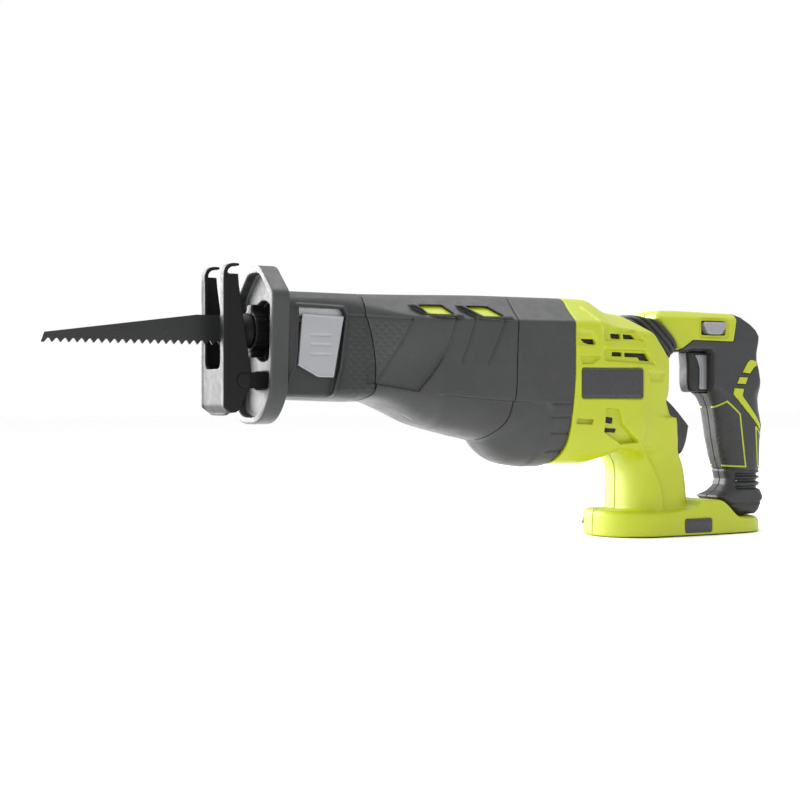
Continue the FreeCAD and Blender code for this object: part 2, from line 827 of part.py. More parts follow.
def make_crank():
    gear = new_body("crank_gear")
    plate = circle(sketch_on(gear, "XY", d.gear_low + 1.4), 0, 0, d.gear_r - 2)
    circle(plate, 0, 0, d.crank_shaft_r)
    grow(gear, plate, d.gear_high - d.gear_low - 1.4)
    tooth = sketch_on(gear, "YZ", 22)
    reach = d.gear_low + 1.6
    polygon(tooth, [(-1.0, reach), (-0.6, reach - 2.8), (0.6, reach - 2.8), (1.0, reach)])
    body_tooth = grow(gear, tooth, 4)
    doc.recompute()
    spin(gear, body_tooth, plate, GEAR_TEETH)
    place_on_crank(gear)
    keep(gear, "crank_gear")

    shaft = disc("crank_shaft", "XY", (0, 0), d.crank_shaft_r, 88.5, d.gear_high - 88.5)
    place_on_crank(shaft)
    keep(shaft, "crank_shaft")
    pin = disc("crank_pin", "XY", (0, -d.stroke / 2), d.pin_r, d.gear_high,
               d.yoke_high - d.gear_high - 0.2)
    place_on_crank(pin, turned=True)
    keep(pin, "crank_pin")
    roller = disc("crank_roller", "XY", (0, -d.stroke / 2), d.roller_r,
                  d.yoke_low + 0.5, 14.5, bore=d.pin_r + 0.02)
    place_on_crank(roller, turned=True)
    keep(roller, "crank_roller")

    # crescent that balances the pin and roller
    weight = new_body("balance_weight")
    ring = circle(sketch_on(weight, "XY", d.gear_high), 0, 0, 23.5)
    circle(ring, 0, 0, 9)
    grow(weight, ring, 2.5)
    front = sketch_on(weight, "XY", d.gear_high - 1)
    box_outline(front, -40, 40, -40, 3)
    cut(weight, front, 10, reverse=True)
    place_on_crank(weight, turned=True)
    keep(weight, "balance_weight")

    bearings = new_body("crank_bearings")
    for start in (88, 98):
        ring = circle(sketch_on(bearings, "XY", start), 0, 0, 9.0)
        circle(ring, 0, 0, d.crank_shaft_r + 0.03)
        grow(bearings, ring, 6)
    place_on_crank(bearings)
    keep(bearings, "crank_bearings")


# --------------------------------------------------------------------------
# Motor
# --------------------------------------------------------------------------
def make_motor():
    start = -171.0
    shaft = disc("motor_shaft", "YZ", (0, 0), d.shaft_r, start, d.can_rear + 8 - start)
    place_on_motor(shaft)
    keep(shaft, "motor_shaft")

    pinion = new_body("pinion")
    root = circle(sketch_on(pinion, "YZ", -169), 0, 0, 4.4)
    circle(root, 0, 0, d.shaft_r)
    grow(pinion, root, 12)
    tooth = sketch_on(pinion, "YZ", -169)
    half_step = math.pi / PINION_TEETH

    def turned(across, out):
        """A point of a tooth that stands half a step off the upright."""
        return (across * math.cos(half_step) + out * math.sin(half_step),
                out * math.cos(half_step) - across * math.sin(half_step))

    polygon(tooth, [turned(-1.0, 4.0), turned(1.0, 4.0), turned(0.55, 6.6),
                    turned(-0.55, 6.6)])
    profile = grow(pinion, tooth, 12)
    doc.recompute()
    spin(pinion, profile, root, PINION_TEETH)
    place_on_motor(pinion)
    keep(pinion, "pinion")

    armature = new_body("armature")
    core = circle(sketch_on(armature, "YZ", -61), 0, 0, 15.6)
    circle(core, 0, 0, d.shaft_r)
    grow(armature, core, 34)
    slot = sketch_on(armature, "YZ", -62)
    box_outline(slot, -1.6, 1.6, 7.5, 20)
    groove = cut(armature, slot, 40, reverse=True)
    spin(armature, groove, core, 10)
    place_on_motor(armature)
    keep(armature, "armature")

    windings = new_body("windings")
    for x0, length in ((-66.5, 5.3), (-26.8, 4.4)):
        turns = circle(sketch_on(windings, "YZ", x0), 0, 0, 13.6)
        circle(turns, 0, 0, 4)
        grow(windings, turns, length)
    place_on_motor(windings)
    keep(windings, "windings")

    ring = disc("commutator", "YZ", (0, 0), 7.6, -21.8, 8, bore=d.shaft_r)
    place_on_motor(ring)
    keep(ring, "commutator")

    fan = new_body("fan")
    hub = circle(sketch_on(fan, "YZ", d.fan_x), 0, 0, 7)
    circle(hub, 0, 0, d.shaft_r)
    grow(fan, hub, 11)
    back = circle(sketch_on(fan, "YZ", d.fan_x), 0, 0, d.fan_r)
    circle(back, 0, 0, 6.5)
    grow(fan, back, 1.6)
    vane = sketch_on(fan, "YZ", d.fan_x + 1)
    polygon(vane, [(-0.7, 6.4), (0.7, 6.4), (5.2, 24.6), (3.8, 24.6)])
    blade = grow(fan, vane, 9)
    doc.recompute()
    spin(fan, blade, hub, 9)
    place_on_motor(fan)
    keep(fan, "fan")

    can = new_body("motor_can")
    shell = circle(sketch_on(can, "YZ", d.can_front), 0, 0, d.can_r)
    circle(shell, 0, 0, d.can_r - 1.6)
    grow(can, shell, d.can_rear - d.can_front)
    place_on_motor(can)
    keep(can, "motor_can")

    flange = disc("motor_flange", "YZ", (0, 0), d.can_r, d.can_front - 5, 4.9, bore=8)
    place_on_motor(flange)
    keep(flange, "motor_flange")
    cap = disc("motor_end_cap", "YZ", (0, 0), d.can_r, d.can_rear + 0.1, 6, bore=8)
    place_on_motor(cap)
    keep(cap, "motor_end_cap")

    bearings = new_body("motor_bearings")
    for x0 in (-154, d.can_front - 5, d.can_rear + 1):
        ring = circle(sketch_on(bearings, "YZ", x0), 0, 0, 8)
        circle(ring, 0, 0, d.shaft_r + 0.03)
        grow(bearings, ring, 5)
    place_on_motor(bearings)
    keep(bearings, "motor_bearings")

    magnets = new_body("magnets")
    arcs = circle(sketch_on(magnets, "YZ", -63), 0, 0, d.can_r - 1.7)
    circle(arcs, 0, 0, 16.6)
    grow(magnets, arcs, 38)
    gap = sketch_on(magnets, "YZ", -64)
    box_outline(gap, -8, 8, -30, 30)
    cut(magnets, gap, 50, reverse=True)
    place_on_motor(magnets)
    keep(magnets, "magnets")

    brushes = new_body("brushes")
    for side in (-1, 1):
        stub = sketch_on(brushes, "XY", -2.5)
        box_outline(stub, -20.6, -15.0, side * 7.9, side * 17.5)
        grow(brushes, stub, 5)
    place_on_motor(brushes)
    keep(brushes, "brushes")


# --------------------------------------------------------------------------
# Motor housing with the battery column and base
# --------------------------------------------------------------------------
def barrel(label, inset, front):
    """Motor barrel as a solid, drawn in by the inset."""
    body = new_body(label)
    top = d.cover_top - inset
    low = d.bulge_low + inset
    side = sketch_on(body, "XZ")
    polygon(side, [
        (front, low),
        (-64, low),
        (-40, low + 9.5),
        (-28, low + 5),
        (d.column_rear - 4 - inset, low + 5),
        (5 - inset, low + 46),
        (d.barrel_rear - inset, low + 56),
        (d.barrel_rear - inset, low + 70),
        (d.barrel_rear - 3 - inset, low + 76),
        (-14 - inset * 0.4, top - 9),
        (-42.7 - inset * 0.4, top - 8.4),
        (-54.7 - inset * 0.4, top),
        (front, top),
    ])
    grow(body, side, (d.barrel_half - inset) * 2, both=True)
    plan = sketch_on(body, "XY", d.socket_top)
    for sign in (-1, 1):
        polygon(plan, [
            (d.can_rear - 16, sign * (d.barrel_half - inset)),
            (d.can_rear + 4, sign * (d.barrel_half - 3.5 - inset)),
            (d.barrel_rear + 1, sign * (d.column_half - inset)),
            (d.column_rear + 2, sign * (d.column_half - inset)),
            (d.column_rear + 2, sign * WIDE),
            (d.can_rear - 16, sign * WIDE),
        ])
    cut(body, plan, LONG, reverse=True)
    trim_shoulders(body, as_dim(front) - 1, LONG, d.barrel_half, d.cover_top, inset)
    trim_belly(body, as_dim(front) - 1, d.bulge_low, d.column_rear, d.bulge_low,
               d.barrel_half, inset)
    return body


VENTS = [
    # front, rear, low, high on both flanks
    (-48, -33, 137, 141),
    (-48, -26, 126, 129.5),
    (-77, -62, 133.5, 137),
    (-78, -61, 83, 87),
    (-50, -34, 81.5, 91),
    (-50, -40, 77, 79.5),
]


def make_housing(core):
    front = d.case_rear + d.gap
    lip = boolean("Common", "housing_lip", core,
                  slab("lip_span", front, d.barrel_front + 1))
    outer = barrel("barrel_solid", 0, d.barrel_front)
    column = new_body("column_solid")
    side = sketch_on(column, "XZ")
    polygon(side, [(d.column_front, 5), (d.column_rear, 5), (d.column_rear, 32),
                   (d.column_rear - 5, 60), (d.column_front - 4, 60),
                   (d.column_front, 52)])
    grow(column, side, d.column_half * 2, both=True)
    base = new_body("base_solid")
    foot = sketch_on(base, "XZ")
    polygon(foot, [
        (d.base_front, 0),
        (d.base_rear, 0),
        (d.base_rear, d.base_step),
        (68, d.base_step),
        (56, d.base_step + 6),
        (47, d.base_z + 8.5),
        (d.column_rear, d.base_z + 9),
        (d.column_rear - 6, d.base_z),
        (d.base_front, d.base_z),
    ])
    grow(base, foot, d.base_half * 2, both=True)
    round_edges(base, 33, lambda p, t: abs(t.z) > 0.9 and p.x < DIMENSIONS["base_front"] + 1)
    round_edges(base, 33, lambda p, t: abs(t.z) > 0.9 and p.x > DIMENSIONS["base_rear"] - 1)
    # ear that carries the flex pivot of the handle
    ear = new_body("pivot_ear")
    cheek = sketch_on(ear, "XZ")
    polygon(cheek, [(d.foot_x - 6, 5), (d.foot_x + 6, 5), (d.foot_x + 6, d.foot_z + 3),
                    (d.foot_x + 3, d.foot_z + 6), (d.foot_x - 3, d.foot_z + 6),
                    (d.foot_x - 6, d.foot_z + 3)])
    grow(ear, cheek, 8, both=True)
    solid = doc.addObject("Part::MultiFuse", "housing_solid")
    solid.Shapes = [lip, outer, column, base, ear]

    # room inside: three chambers between the ribs that hold the motor
    inside = barrel("barrel_inside", d.wall, front - 5)
    lip_inside = boolean("Cut", "front_chamber",
                         envelope("lip_inside", d.skin + d.gap + d.wall),
                         slab("front_limit", d.barrel_front - 0.05, LONG))
    rooms = new_body("rooms")
    for x0, x1 in ((d.barrel_front + 2.6, -67), (-63, -22), (-18, 60)):
        area = sketch_on(rooms, "XY", 55)
        box_outline(area, x0, x1, -60, 60)
        grow(rooms, area, 130)
    chambers = boolean("Common", "chambers", inside, rooms)
    hollow = new_body("housing_bores")

    def opening(plane, shift, outline, length, **how):
        sketch = sketch_on(hollow, plane, shift)
        for a0, a1, b0, b1 in outline:
            box_outline(sketch, a0, a1, b0, b1)
        grow(hollow, sketch, length, **how)

    grow(hollow, circle(sketch_on(hollow, "YZ", d.can_front - 6), 0, d.motor_z,
                        d.can_r + 0.05), d.can_rear - d.can_front + 13)
    grow(hollow, circle(sketch_on(hollow, "YZ", d.barrel_front - 1), 0, d.motor_z, 30), 5)
    opening("XY", -1, [(d.socket_front, d.socket_rear, -d.socket_half, d.socket_half)],
            d.socket_top + 1)
    opening("XY", 64.5, [(d.socket_front, 15, -d.socket_half, d.socket_half)], 20)
    opening("XZ", 0, [(x0, x1, z0, z1) for x0, x1, z0, z1 in VENTS], WIDE, both=True)
    pivot = circle(sketch_on(hollow, "XZ"), d.foot_x, d.foot_z, 3.0 + d.fit)
    grow(hollow, pivot, 30, both=True)
    wires = sketch_on(hollow, "XY", d.socket_top - 1)
    for side in (-6, 6):
        circle(wires, -8, side, 1.4)
    grow(hollow, wires, 5)
    shell = boolean("Cut", "housing_open", solid, lip_inside)
    shell = boolean("Cut", "housing_hollow", shell, chambers)
    shell = boolean("Cut", "housing_shell", shell, hollow)

    spots = [(-60, 154, 20), (-56, 66, 22), (-4, 136, 22), (3, 104, 22), (-30, 68, 20),
             (-36, 9, 18), (50, 8, 26)]
    holes = screw_set("housing_screws", spots, 3.0, 2.0, 32)
    shell = boolean("Cut", "housing_drilled", shell, holes)
    for label, y0, y1 in (("housing_left", -WIDE, 0), ("housing_right", 0, WIDE)):
        half = slab(label + "_span", -LONG, LONG, y0, y1)
        keep(boolean("Common", label, shell, half), label)


def make_battery_port():
    block_body = block("terminal_block", -17, 17, -14, 14, d.socket_top - 14, d.socket_top)
    slots = sketch_on(block_body, "XY", d.socket_top - 14)
    for y in (-9, 0, 9):
        box_outline(slots, -12, 12, y - 0.5, y + 0.5)
    cut(block_body, slots, 6, reverse=True)
    keep(block_body, "terminal_block")
    contacts = new_body("battery_contacts")
    tabs = sketch_on(contacts, "XY", d.socket_top - 22)
    for y in (-9, 0, 9):
        box_outline(tabs, -11.8, 11.8, y - 0.48, y + 0.48)
    grow(contacts, tabs, 14)
    keep(contacts, "battery_contacts")
    leads = new_body("motor_leads")
    wires = sketch_on(leads, "XY", d.socket_top)
    for side in (-6, 6):
        circle(wires, -8, side, 1.3)
    grow(leads, wires, 27.5)
    keep(leads, "motor_leads")


def make_trim():
    """Badges, rear pad and bellows."""
    plate = new_body("side_badge_plate")
    face = sketch_on(plate, "XZ", d.barrel_half)
    polygon(face, [(-77, 99), (-77, 117), (-75.5, 118.5), (-27.5, 118.5), (-26, 117),
                   (-26, 99), (-27.5, 97.5), (-75.5, 97.5)])
    grow(plate, face, 0.6)
    mirrored_pair("side_badges", plate)
    plate = new_body("base_badge_plate")
    face = sketch_on(plate, "XZ", d.base_half)
    polygon(face, [(12, 4), (12, 10), (14, 12), (34, 12), (36, 10), (36, 4),
                   (34, 2), (14, 2)])
    grow(plate, face, 0.4)
    mirrored_pair("base_badges", plate)

    pad = new_body("rear_pad")
    side = sketch_on(pad, "XZ")
    polygon(side, [(5.4, 97), (8.5, 99.5), (31, 78), (26.5, 57), (23.2, 56.2),
                   (22.2, 60.2)])
    grow(pad, side, 32, both=True)
    keep(pad, "rear_pad")

    bellows = new_body("bellows")
    side = sketch_on(bellows, "XZ")
    polygon(side, [(-13.6, 158.6), (2.2, 158.8), (10.3, 147.5), (21.0, 132.4),
                   (16.6, 126.4), (8.5, 126.8)])
    grow(bellows, side, 30, both=True)
    keep(bellows, "bellows")


# --------------------------------------------------------------------------
# Handle
# --------------------------------------------------------------------------
def handle_form(label, inset, half):
    """Upper arm and grip as one solid, drawn in by the inset."""
    body = new_body(label)
    side = sketch_on(body, "XZ")
    high = d.handle_top - inset
    polygon(side, [
        (6.5 + inset, high - 4),
        (17.1 + inset, high),
        (77 - inset * 0.3, high - 1),
        (85 - inset * 0.6, high - 3.8),
        (91.6 - inset * 0.7, high - 8.5),
        (96.6 - inset, high - 14),
        (98 - inset, 140),
        (96.2 - inset, 128),
        (99.8 - inset, 113),
        (102.6 - inset, 91),
        (105 - inset, 77),
        (104.4 - inset, 40),
        (102.6 - inset, 23),
        (96 - inset, 12 + inset),
        (74 + inset * 0.3, 12 + inset),
        (60 + inset * 1.5, 24 + inset * 0.5),
        (60 + inset * 1.5, 26 + inset * 0.5),
        (71.6 + inset, 33.6),
        (72.6 + inset, 38),
        (67.6 + inset, 54.6),
        (62 + inset, 84),
        (60.2 + inset, 92),
        (53.4 + inset, 101.5),
        (52 + inset, 132.6 + inset),
        (24.8 + inset, 132.4 + inset),
    ])
    grow(body, side, as_dim(half) * 2, both=True)
    section = sketch_on(body, "YZ", 0)
    for side in (-1, 1):
        polygon(section, [
            (side * (d.handle_half - 8 - inset * 0.5), high),
            (side * (half - inset * 0.3), high - 9),
            (side * WIDE, high - 9),
            (side * WIDE, WIDE),
            (side * (d.handle_half - 8 - inset * 0.5), WIDE),
        ])
    cut(body, section, LONG, reverse=True)
    return body


def make_handle():
    solid = handle_form("handle_solid", 0, d.handle_half)
    # the grip overmould stands proud of the lower and rear part of the handle
    outer = handle_form("grip_solid", -1.2, d.grip_half)
    zone = new_body("grip_zone")
    area = sketch_on(zone, "XZ")
    polygon(area, [(20, 12.1), (20, 100.5), (50, 100.5), (66, 101), (75, 138), (80, 165),
                   (140, 165), (140, 12.1)])
    grow(zone, area, 60, both=True)
    base_relief = handle_form("grip_inside", -0.05, d.handle_half + 0.05)
    grip = boolean("Common", "grip_part", outer, zone)
    grip = boolean("Cut", "grip_skin", grip, base_relief)

    hollow = handle_form("handle_room", d.handle_wall, d.handle_half - d.handle_wall)
    rooms = new_body("handle_openings")
    mouth = sketch_on(rooms, "YZ", 40)
    box_outline(mouth, -d.trigger_half - 0.4, d.trigger_half + 0.4,
                d.trigger_low - 0.5, d.trigger_high + 0.5)
    grow(rooms, mouth, 34)
    push = sketch_on(rooms, "XZ")
    box_outline(push, d.button_x - 11.3, d.button_x + 11.3,
                d.button_z - 5.1, d.button_z + 5.1)
    grow(rooms, push, WIDE, both=True)
    step = sketch_on(rooms, "XZ")
    box_outline(step, d.foot_x - 8, d.foot_x + 8, 8, d.foot_z + 8)
    grow(rooms, step, 9, both=True)
    pivot = circle(sketch_on(rooms, "XZ"), d.foot_x, d.foot_z, 3.0)
    grow(rooms, pivot, 30, both=True)
    shell = boolean("Cut", "handle_hollow", solid, hollow)
    shell = boolean("Cut", "handle_shell", shell, rooms)
    grip = boolean("Cut", "grip_open", grip, rooms)

    spots = [(28, 148, 13), (88, 147, 13), (70, 88, 13), (80, 36, 13), (97, 36, 13)]
    holes = screw_set("handle_screws", spots, 2.8, 2.0, 24)
    shell = boolean("Cut", "handle_drilled", shell, holes)
    grip = boolean("Cut", "grip_drilled", grip, holes)
    for label, y0, y1 in (("left", -WIDE, 0), ("right", 0, WIDE)):
        half = slab("handle_" + label + "_span", -LONG, LONG, y0, y1)
        keep(boolean("Common", "handle_" + label, shell, half), "handle_" + label)
        keep(boolean("Common", "grip_" + label, grip, half), "grip_" + label)

    pin = new_body("foot_pin")
    rod = circle(sketch_on(pin, "XZ"), d.foot_x, d.foot_z, 2.99)
    grow(pin, rod, 28, both=True)
    keep(pin, "foot_pin")


def make_controls():
    trigger = new_body("trigger")
    side = sketch_on(trigger, "XZ")
    polygon(side, [
        (d.trigger_x, d.trigger_high),
        (d.trigger_x + 0.5, d.trigger_low + 12),
        (d.trigger_x + 3, d.trigger_low + 1),
        (d.trigger_x + 5, d.trigger_low),
        (d.trigger_x + 26, d.trigger_low),
        (d.trigger_x + 26, d.trigger_high),
    ])
    grow(trigger, side, d.trigger_half * 2, both=True)
    seat = circle(sketch_on(trigger, "YZ", d.trigger_x + 8), 0, 117, 4.2)
    cut(trigger, seat, 40, reverse=True)
    cheeks = sketch_on(trigger, "XZ")
    box_outline(cheeks, d.trigger_x + 9, d.trigger_x + 24, d.trigger_low + 2,
                d.trigger_high - 2)
    cut(trigger, cheeks, d.trigger_half * 2 + 2, both=True)
    core = sketch_on(trigger, "XZ")
    box_outline(core, d.trigger_x + 8.9, d.trigger_x + 24.1, d.trigger_low + 1.9,
                d.trigger_high - 1.9)
    grow(trigger, core, d.trigger_half * 2 - 2.4, both=True)
    seat = circle(sketch_on(trigger, "YZ", d.trigger_x + 8), 0, 117, 4.2)
    cut(trigger, seat, 40, reverse=True)
    keep(trigger, "trigger")

    # bright cheek plates let into both sides of the trigger
    plate = new_body("trigger_cheek")
    face = sketch_on(plate, "XZ", d.trigger_half - 1.15)
    box_outline(face, d.trigger_x + 9.1, d.trigger_x + 23.9, d.trigger_low + 2.1,
                d.trigger_high - 2.1)
    grow(plate, face, 1.1)
    mirrored_pair("trigger_cheeks", plate)

    spring = new_body("trigger_spring")
    rear = 76.0
    for turn in range(9):
        coil = circle(sketch_on(spring, "YZ", rear - 2 * (turn + 1)), 0, 117, 3.6)
        circle(coil, 0, 117, 2.6)
        grow(spring, coil, 2.0 if turn % 2 else 1.9)
    keep(spring, "trigger_spring")

    switch = block("switch_body", rear, 92, -10, 10, 103, 131)
    keep(switch, "switch_body")
    button = new_body("lock_button")
    side = sketch_on(button, "XZ")
    box_outline(side, d.button_x - 11, d.button_x + 11, d.button_z - 4.8, d.button_z + 4.8)
    grow(button, side, d.handle_half * 2 + d.button_travel, both=True)
    button.setExpression("Placement.Base.y", (-d.button_travel / 2).text)
    keep(button, "lock_button")

    lever = new_body("release_lever")
    plate = sketch_on(lever, "XZ", -1.4 - d.lever_y)
    polygon(plate, [(-281.2, 150.7), (-252.4, 149.0), (-259.6, 110.6), (-270, 110.8),
                    (-284.0, 118.0)])
    grow(lever, plate, 2.8)
    hole = circle(sketch_on(lever, "YZ", -288), d.lever_y, d.lever_z, 0.85)
    cut(lever, hole, 40, reverse=True)
    keep(lever, "release_lever")
    pin = disc("lever_pin", "YZ", (d.lever_y, d.lever_z), 0.8, -287, 38)
    keep(pin, "lever_pin")


def main():
    make_blade()
    make_plunger()
    make_clamp()
    make_shoe()
    core = make_covers()
    make_gear_case(core)
    make_crank()
    make_motor()
    make_housing(core)
    make_battery_port()
    make_trim()
    make_handle()
    make_controls()
    doc.recompute()

    for item in doc.Objects:
        if "Invalid" in item.State or "Error" in item.State:
            raise RuntimeError(f"{item.Label} failed: {item.State}")
    for label, item in nodes.items():
        shape = item.Shape
        if shape.isNull() or not shape.isValid() or not shape.Solids:
            raise RuntimeError(f"{label} has no sound solid")
    for label, item in nodes.items():
        item.Shape.exportStep(f"parts/{label}.step")
        print(label, len(item.Shape.Solids), round(item.Shape.Volume, 1))
    print(len(nodes), "nodes")


main()
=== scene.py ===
"""Looks of the reciprocating saw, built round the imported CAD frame.

Shapes are worked out in millimetres in the CAD frame: +X to the rear, +Z up, the viewer
on the -Y side. Each moulded piece is a field, negative inside, meshed at a fine step.
"""
import json
import math

import bpy
import numpy as np
import openvdb
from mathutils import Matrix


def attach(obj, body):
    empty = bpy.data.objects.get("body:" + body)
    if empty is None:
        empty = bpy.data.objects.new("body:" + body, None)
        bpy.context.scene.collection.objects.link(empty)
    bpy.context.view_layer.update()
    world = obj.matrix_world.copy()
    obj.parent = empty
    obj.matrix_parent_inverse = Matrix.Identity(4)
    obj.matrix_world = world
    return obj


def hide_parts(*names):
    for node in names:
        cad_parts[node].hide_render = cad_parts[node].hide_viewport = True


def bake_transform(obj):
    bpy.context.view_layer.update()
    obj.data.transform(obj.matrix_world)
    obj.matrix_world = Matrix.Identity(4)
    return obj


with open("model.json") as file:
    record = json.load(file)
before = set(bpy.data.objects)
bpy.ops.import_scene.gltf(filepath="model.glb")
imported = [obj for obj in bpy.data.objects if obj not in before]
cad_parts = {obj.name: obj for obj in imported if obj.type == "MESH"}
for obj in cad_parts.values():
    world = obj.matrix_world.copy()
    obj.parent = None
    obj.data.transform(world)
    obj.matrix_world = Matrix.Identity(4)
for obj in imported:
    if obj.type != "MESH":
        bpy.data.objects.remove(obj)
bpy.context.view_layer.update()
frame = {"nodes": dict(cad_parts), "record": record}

MM = 0.001
FINE = 0.55       # sampling step of the moulded shells, mm
CRISP = 0.4       # and of the small parts
scene = bpy.context.scene

AXIS_Z = 140.0                 # height of the blade's and plunger's axis
MOTOR_Z = 112.0                # height of the motor's axis
THROAT_R = 19.3                # bore of the nose round the clamp
RIVET = (-317.0, 108.7)        # the shoe's pivot, x and z
FOOT_PIN = (86.0, 18.0)        # the handle's pivot, x and z
LEVER_PIVOT = (-26.0, 148.0)   # y and z


# --------------------------------------------------------------------------
# Fields
# --------------------------------------------------------------------------
def smooth_max(a, b, k):
    """The larger of two fields, with the edge between them rounded over about k."""
    h = np.clip(0.5 + 0.5 * (a - b) / k, 0.0, 1.0)
    return b + (a - b) * h + k * h * (1.0 - h)


def smooth_min(a, b, k):
    """The smaller of two fields, with the inner corner between them filled over about k."""
    return -smooth_max(-a, -b, k)


def ramp(v, v0, v1):
    """0 at v0, 1 at v1, smooth between."""
    t = np.clip((v - v0) / (v1 - v0), 0.0, 1.0)
    return t * t * (3.0 - 2.0 * t)


def curve(v, points):
    """A smooth line through points (v, value), by Hermite pieces, straight outside."""
    px = np.array([p[0] for p in points], float)
    py = np.array([p[1] for p in points], float)
    if px[0] > px[-1]:
        px, py = px[::-1], py[::-1]
    rise = np.diff(py) / np.diff(px)
    tangent = np.concatenate([rise[:1], 0.5 * (rise[:-1] + rise[1:]), rise[-1:]])
    turns_back = rise[:-1] * rise[1:] <= 0
    tangent[1:-1][turns_back] = 0.0
    i = np.clip(np.searchsorted(px, v) - 1, 0, len(px) - 2)
    width = px[i + 1] - px[i]
    t = np.clip((v - px[i]) / width, 0.0, 1.0)
    h00 = (1 + 2 * t) * (1 - t) ** 2
    h10 = t * (1 - t) ** 2
    h01 = t * t * (3 - 2 * t)
    h11 = t * t * (t - 1)
    return (h00 * py[i] + h10 * width * tangent[i]
            + h01 * py[i + 1] + h11 * width * tangent[i + 1]).astype(np.float32)


def outline(a, b, corners):
    """Signed distance to a polygon in the plane (a, b), negative inside."""
    best = None
    inside = None
    count = len(corners)
    for i in range(count):
        ax, ay = corners[i]
        bx, by = corners[(i + 1) % count]
        ex, ey = bx - ax, by - ay
        wx, wy = a - ax, b - ay
        t = np.clip((wx * ex + wy * ey) / (ex * ex + ey * ey), 0.0, 1.0)
        away = (wx - t * ex) ** 2 + (wy - t * ey) ** 2
        best = away if best is None else np.minimum(best, away)
        over = (ay > b) != (by > b)
        if ey != 0:
            flip = over & (a < ex * (b - ay) / ey + ax)
            inside = flip if inside is None else inside ^ flip
    return np.where(inside, -1.0, 1.0) * np.sqrt(best)


def path_distance(a, b, points):
    """Distance to an open line of points in the plane (a, b)."""
    best = None
    for (ax, ay), (bx, by) in zip(points[:-1], points[1:]):
        ex, ey = bx - ax, by - ay
        wx, wy = a - ax, b - ay
        t = np.clip((wx * ex + wy * ey) / (ex * ex + ey * ey), 0.0, 1.0)
        away = (wx - t * ex) ** 2 + (wy - t * ey) ** 2
        best = away if best is None else np.minimum(best, away)
    return np.sqrt(best)


def groove(distance, depth, width):
    """What a round-bottomed groove adds to a field."""
    return depth * np.exp(-(distance / width) ** 2)


def super_round(parts, power):
    """Superellipse measure of non-negative shares: 1 on the surface."""
    total = 0.0
    for part in parts:
        total = total + np.clip(part, 0.0, None) ** power
    return total ** (1.0 / power)


def box_field(a, b, lo, hi, radius):
    """Rounded rectangle in a plane."""
    ca, cb = (lo[0] + hi[0]) / 2, (lo[1] + hi[1]) / 2
    ha, hb = (hi[0] - lo[0]) / 2 - radius, (hi[1] - lo[1]) / 2 - radius
    da, db = np.abs(a - ca) - ha, np.abs(b - cb) - hb
    out = np.sqrt(np.clip(da, 0, None) ** 2 + np.clip(db, 0, None) ** 2)
    return out + np.minimum(np.maximum(da, db), 0.0) - radius


# --------------------------------------------------------------------------
# Meshing
# --------------------------------------------------------------------------
def mesh_object(name, points, faces):
    mesh = bpy.data.meshes.new(name)
    sides = faces.shape[1]
    mesh.vertices.add(len(points))
    mesh.vertices.foreach_set("co", points.astype(np.float32).ravel())
    mesh.loops.add(faces.size)
    mesh.loops.foreach_set("vertex_index", faces.astype(np.int32).ravel())
    mesh.polygons.add(len(faces))
    mesh.polygons.foreach_set("loop_start", np.arange(0, faces.size, sides, dtype=np.int32))
    mesh.polygons.foreach_set("use_smooth", np.ones(len(faces), bool))
    mesh.update(calc_edges=True)
    mesh.validate()
    piece = bpy.data.objects.new(name, mesh)
    scene.collection.objects.link(piece)
    return piece


def moulded(name, field, low, high, step, mirror=False):
    """Mesh of field(x, y, z) < 0 inside the box low..high, in millimetres."""
    axes = [np.arange(a - 2 * step, b + 3 * step, step, dtype=np.float32)
            for a, b in zip(low, high)]
    x = axes[0][:, None, None]
    y = axes[1][None, :, None]
    z = axes[2][None, None, :]
    sizes = tuple(len(a) for a in axes)
    values = np.broadcast_to(field(x, y, z), sizes) / step
    grid = openvdb.FloatGrid(3.0)
    grid.copyFromArray(np.clip(values, -3.0, 3.0).astype(np.float32))
    points, quads = grid.convertToQuads(0.0)
    points = points * step + np.array([a[0] for a in axes])
    if mirror:
        points = points * np.array([1.0, -1.0, 1.0])
        quads = quads[:, ::-1]
    return mesh_object(name, points * MM, quads)


# --------------------------------------------------------------------------
# Materials
# --------------------------------------------------------------------------
def linear(colour):
    """sRGB 0-255 to linear."""
    out = []
    for c in colour:
        c = c / 255.0
        out.append(c / 12.92 if c <= 0.04045 else ((c + 0.055) / 1.055) ** 2.4)
    return (*out, 1.0)


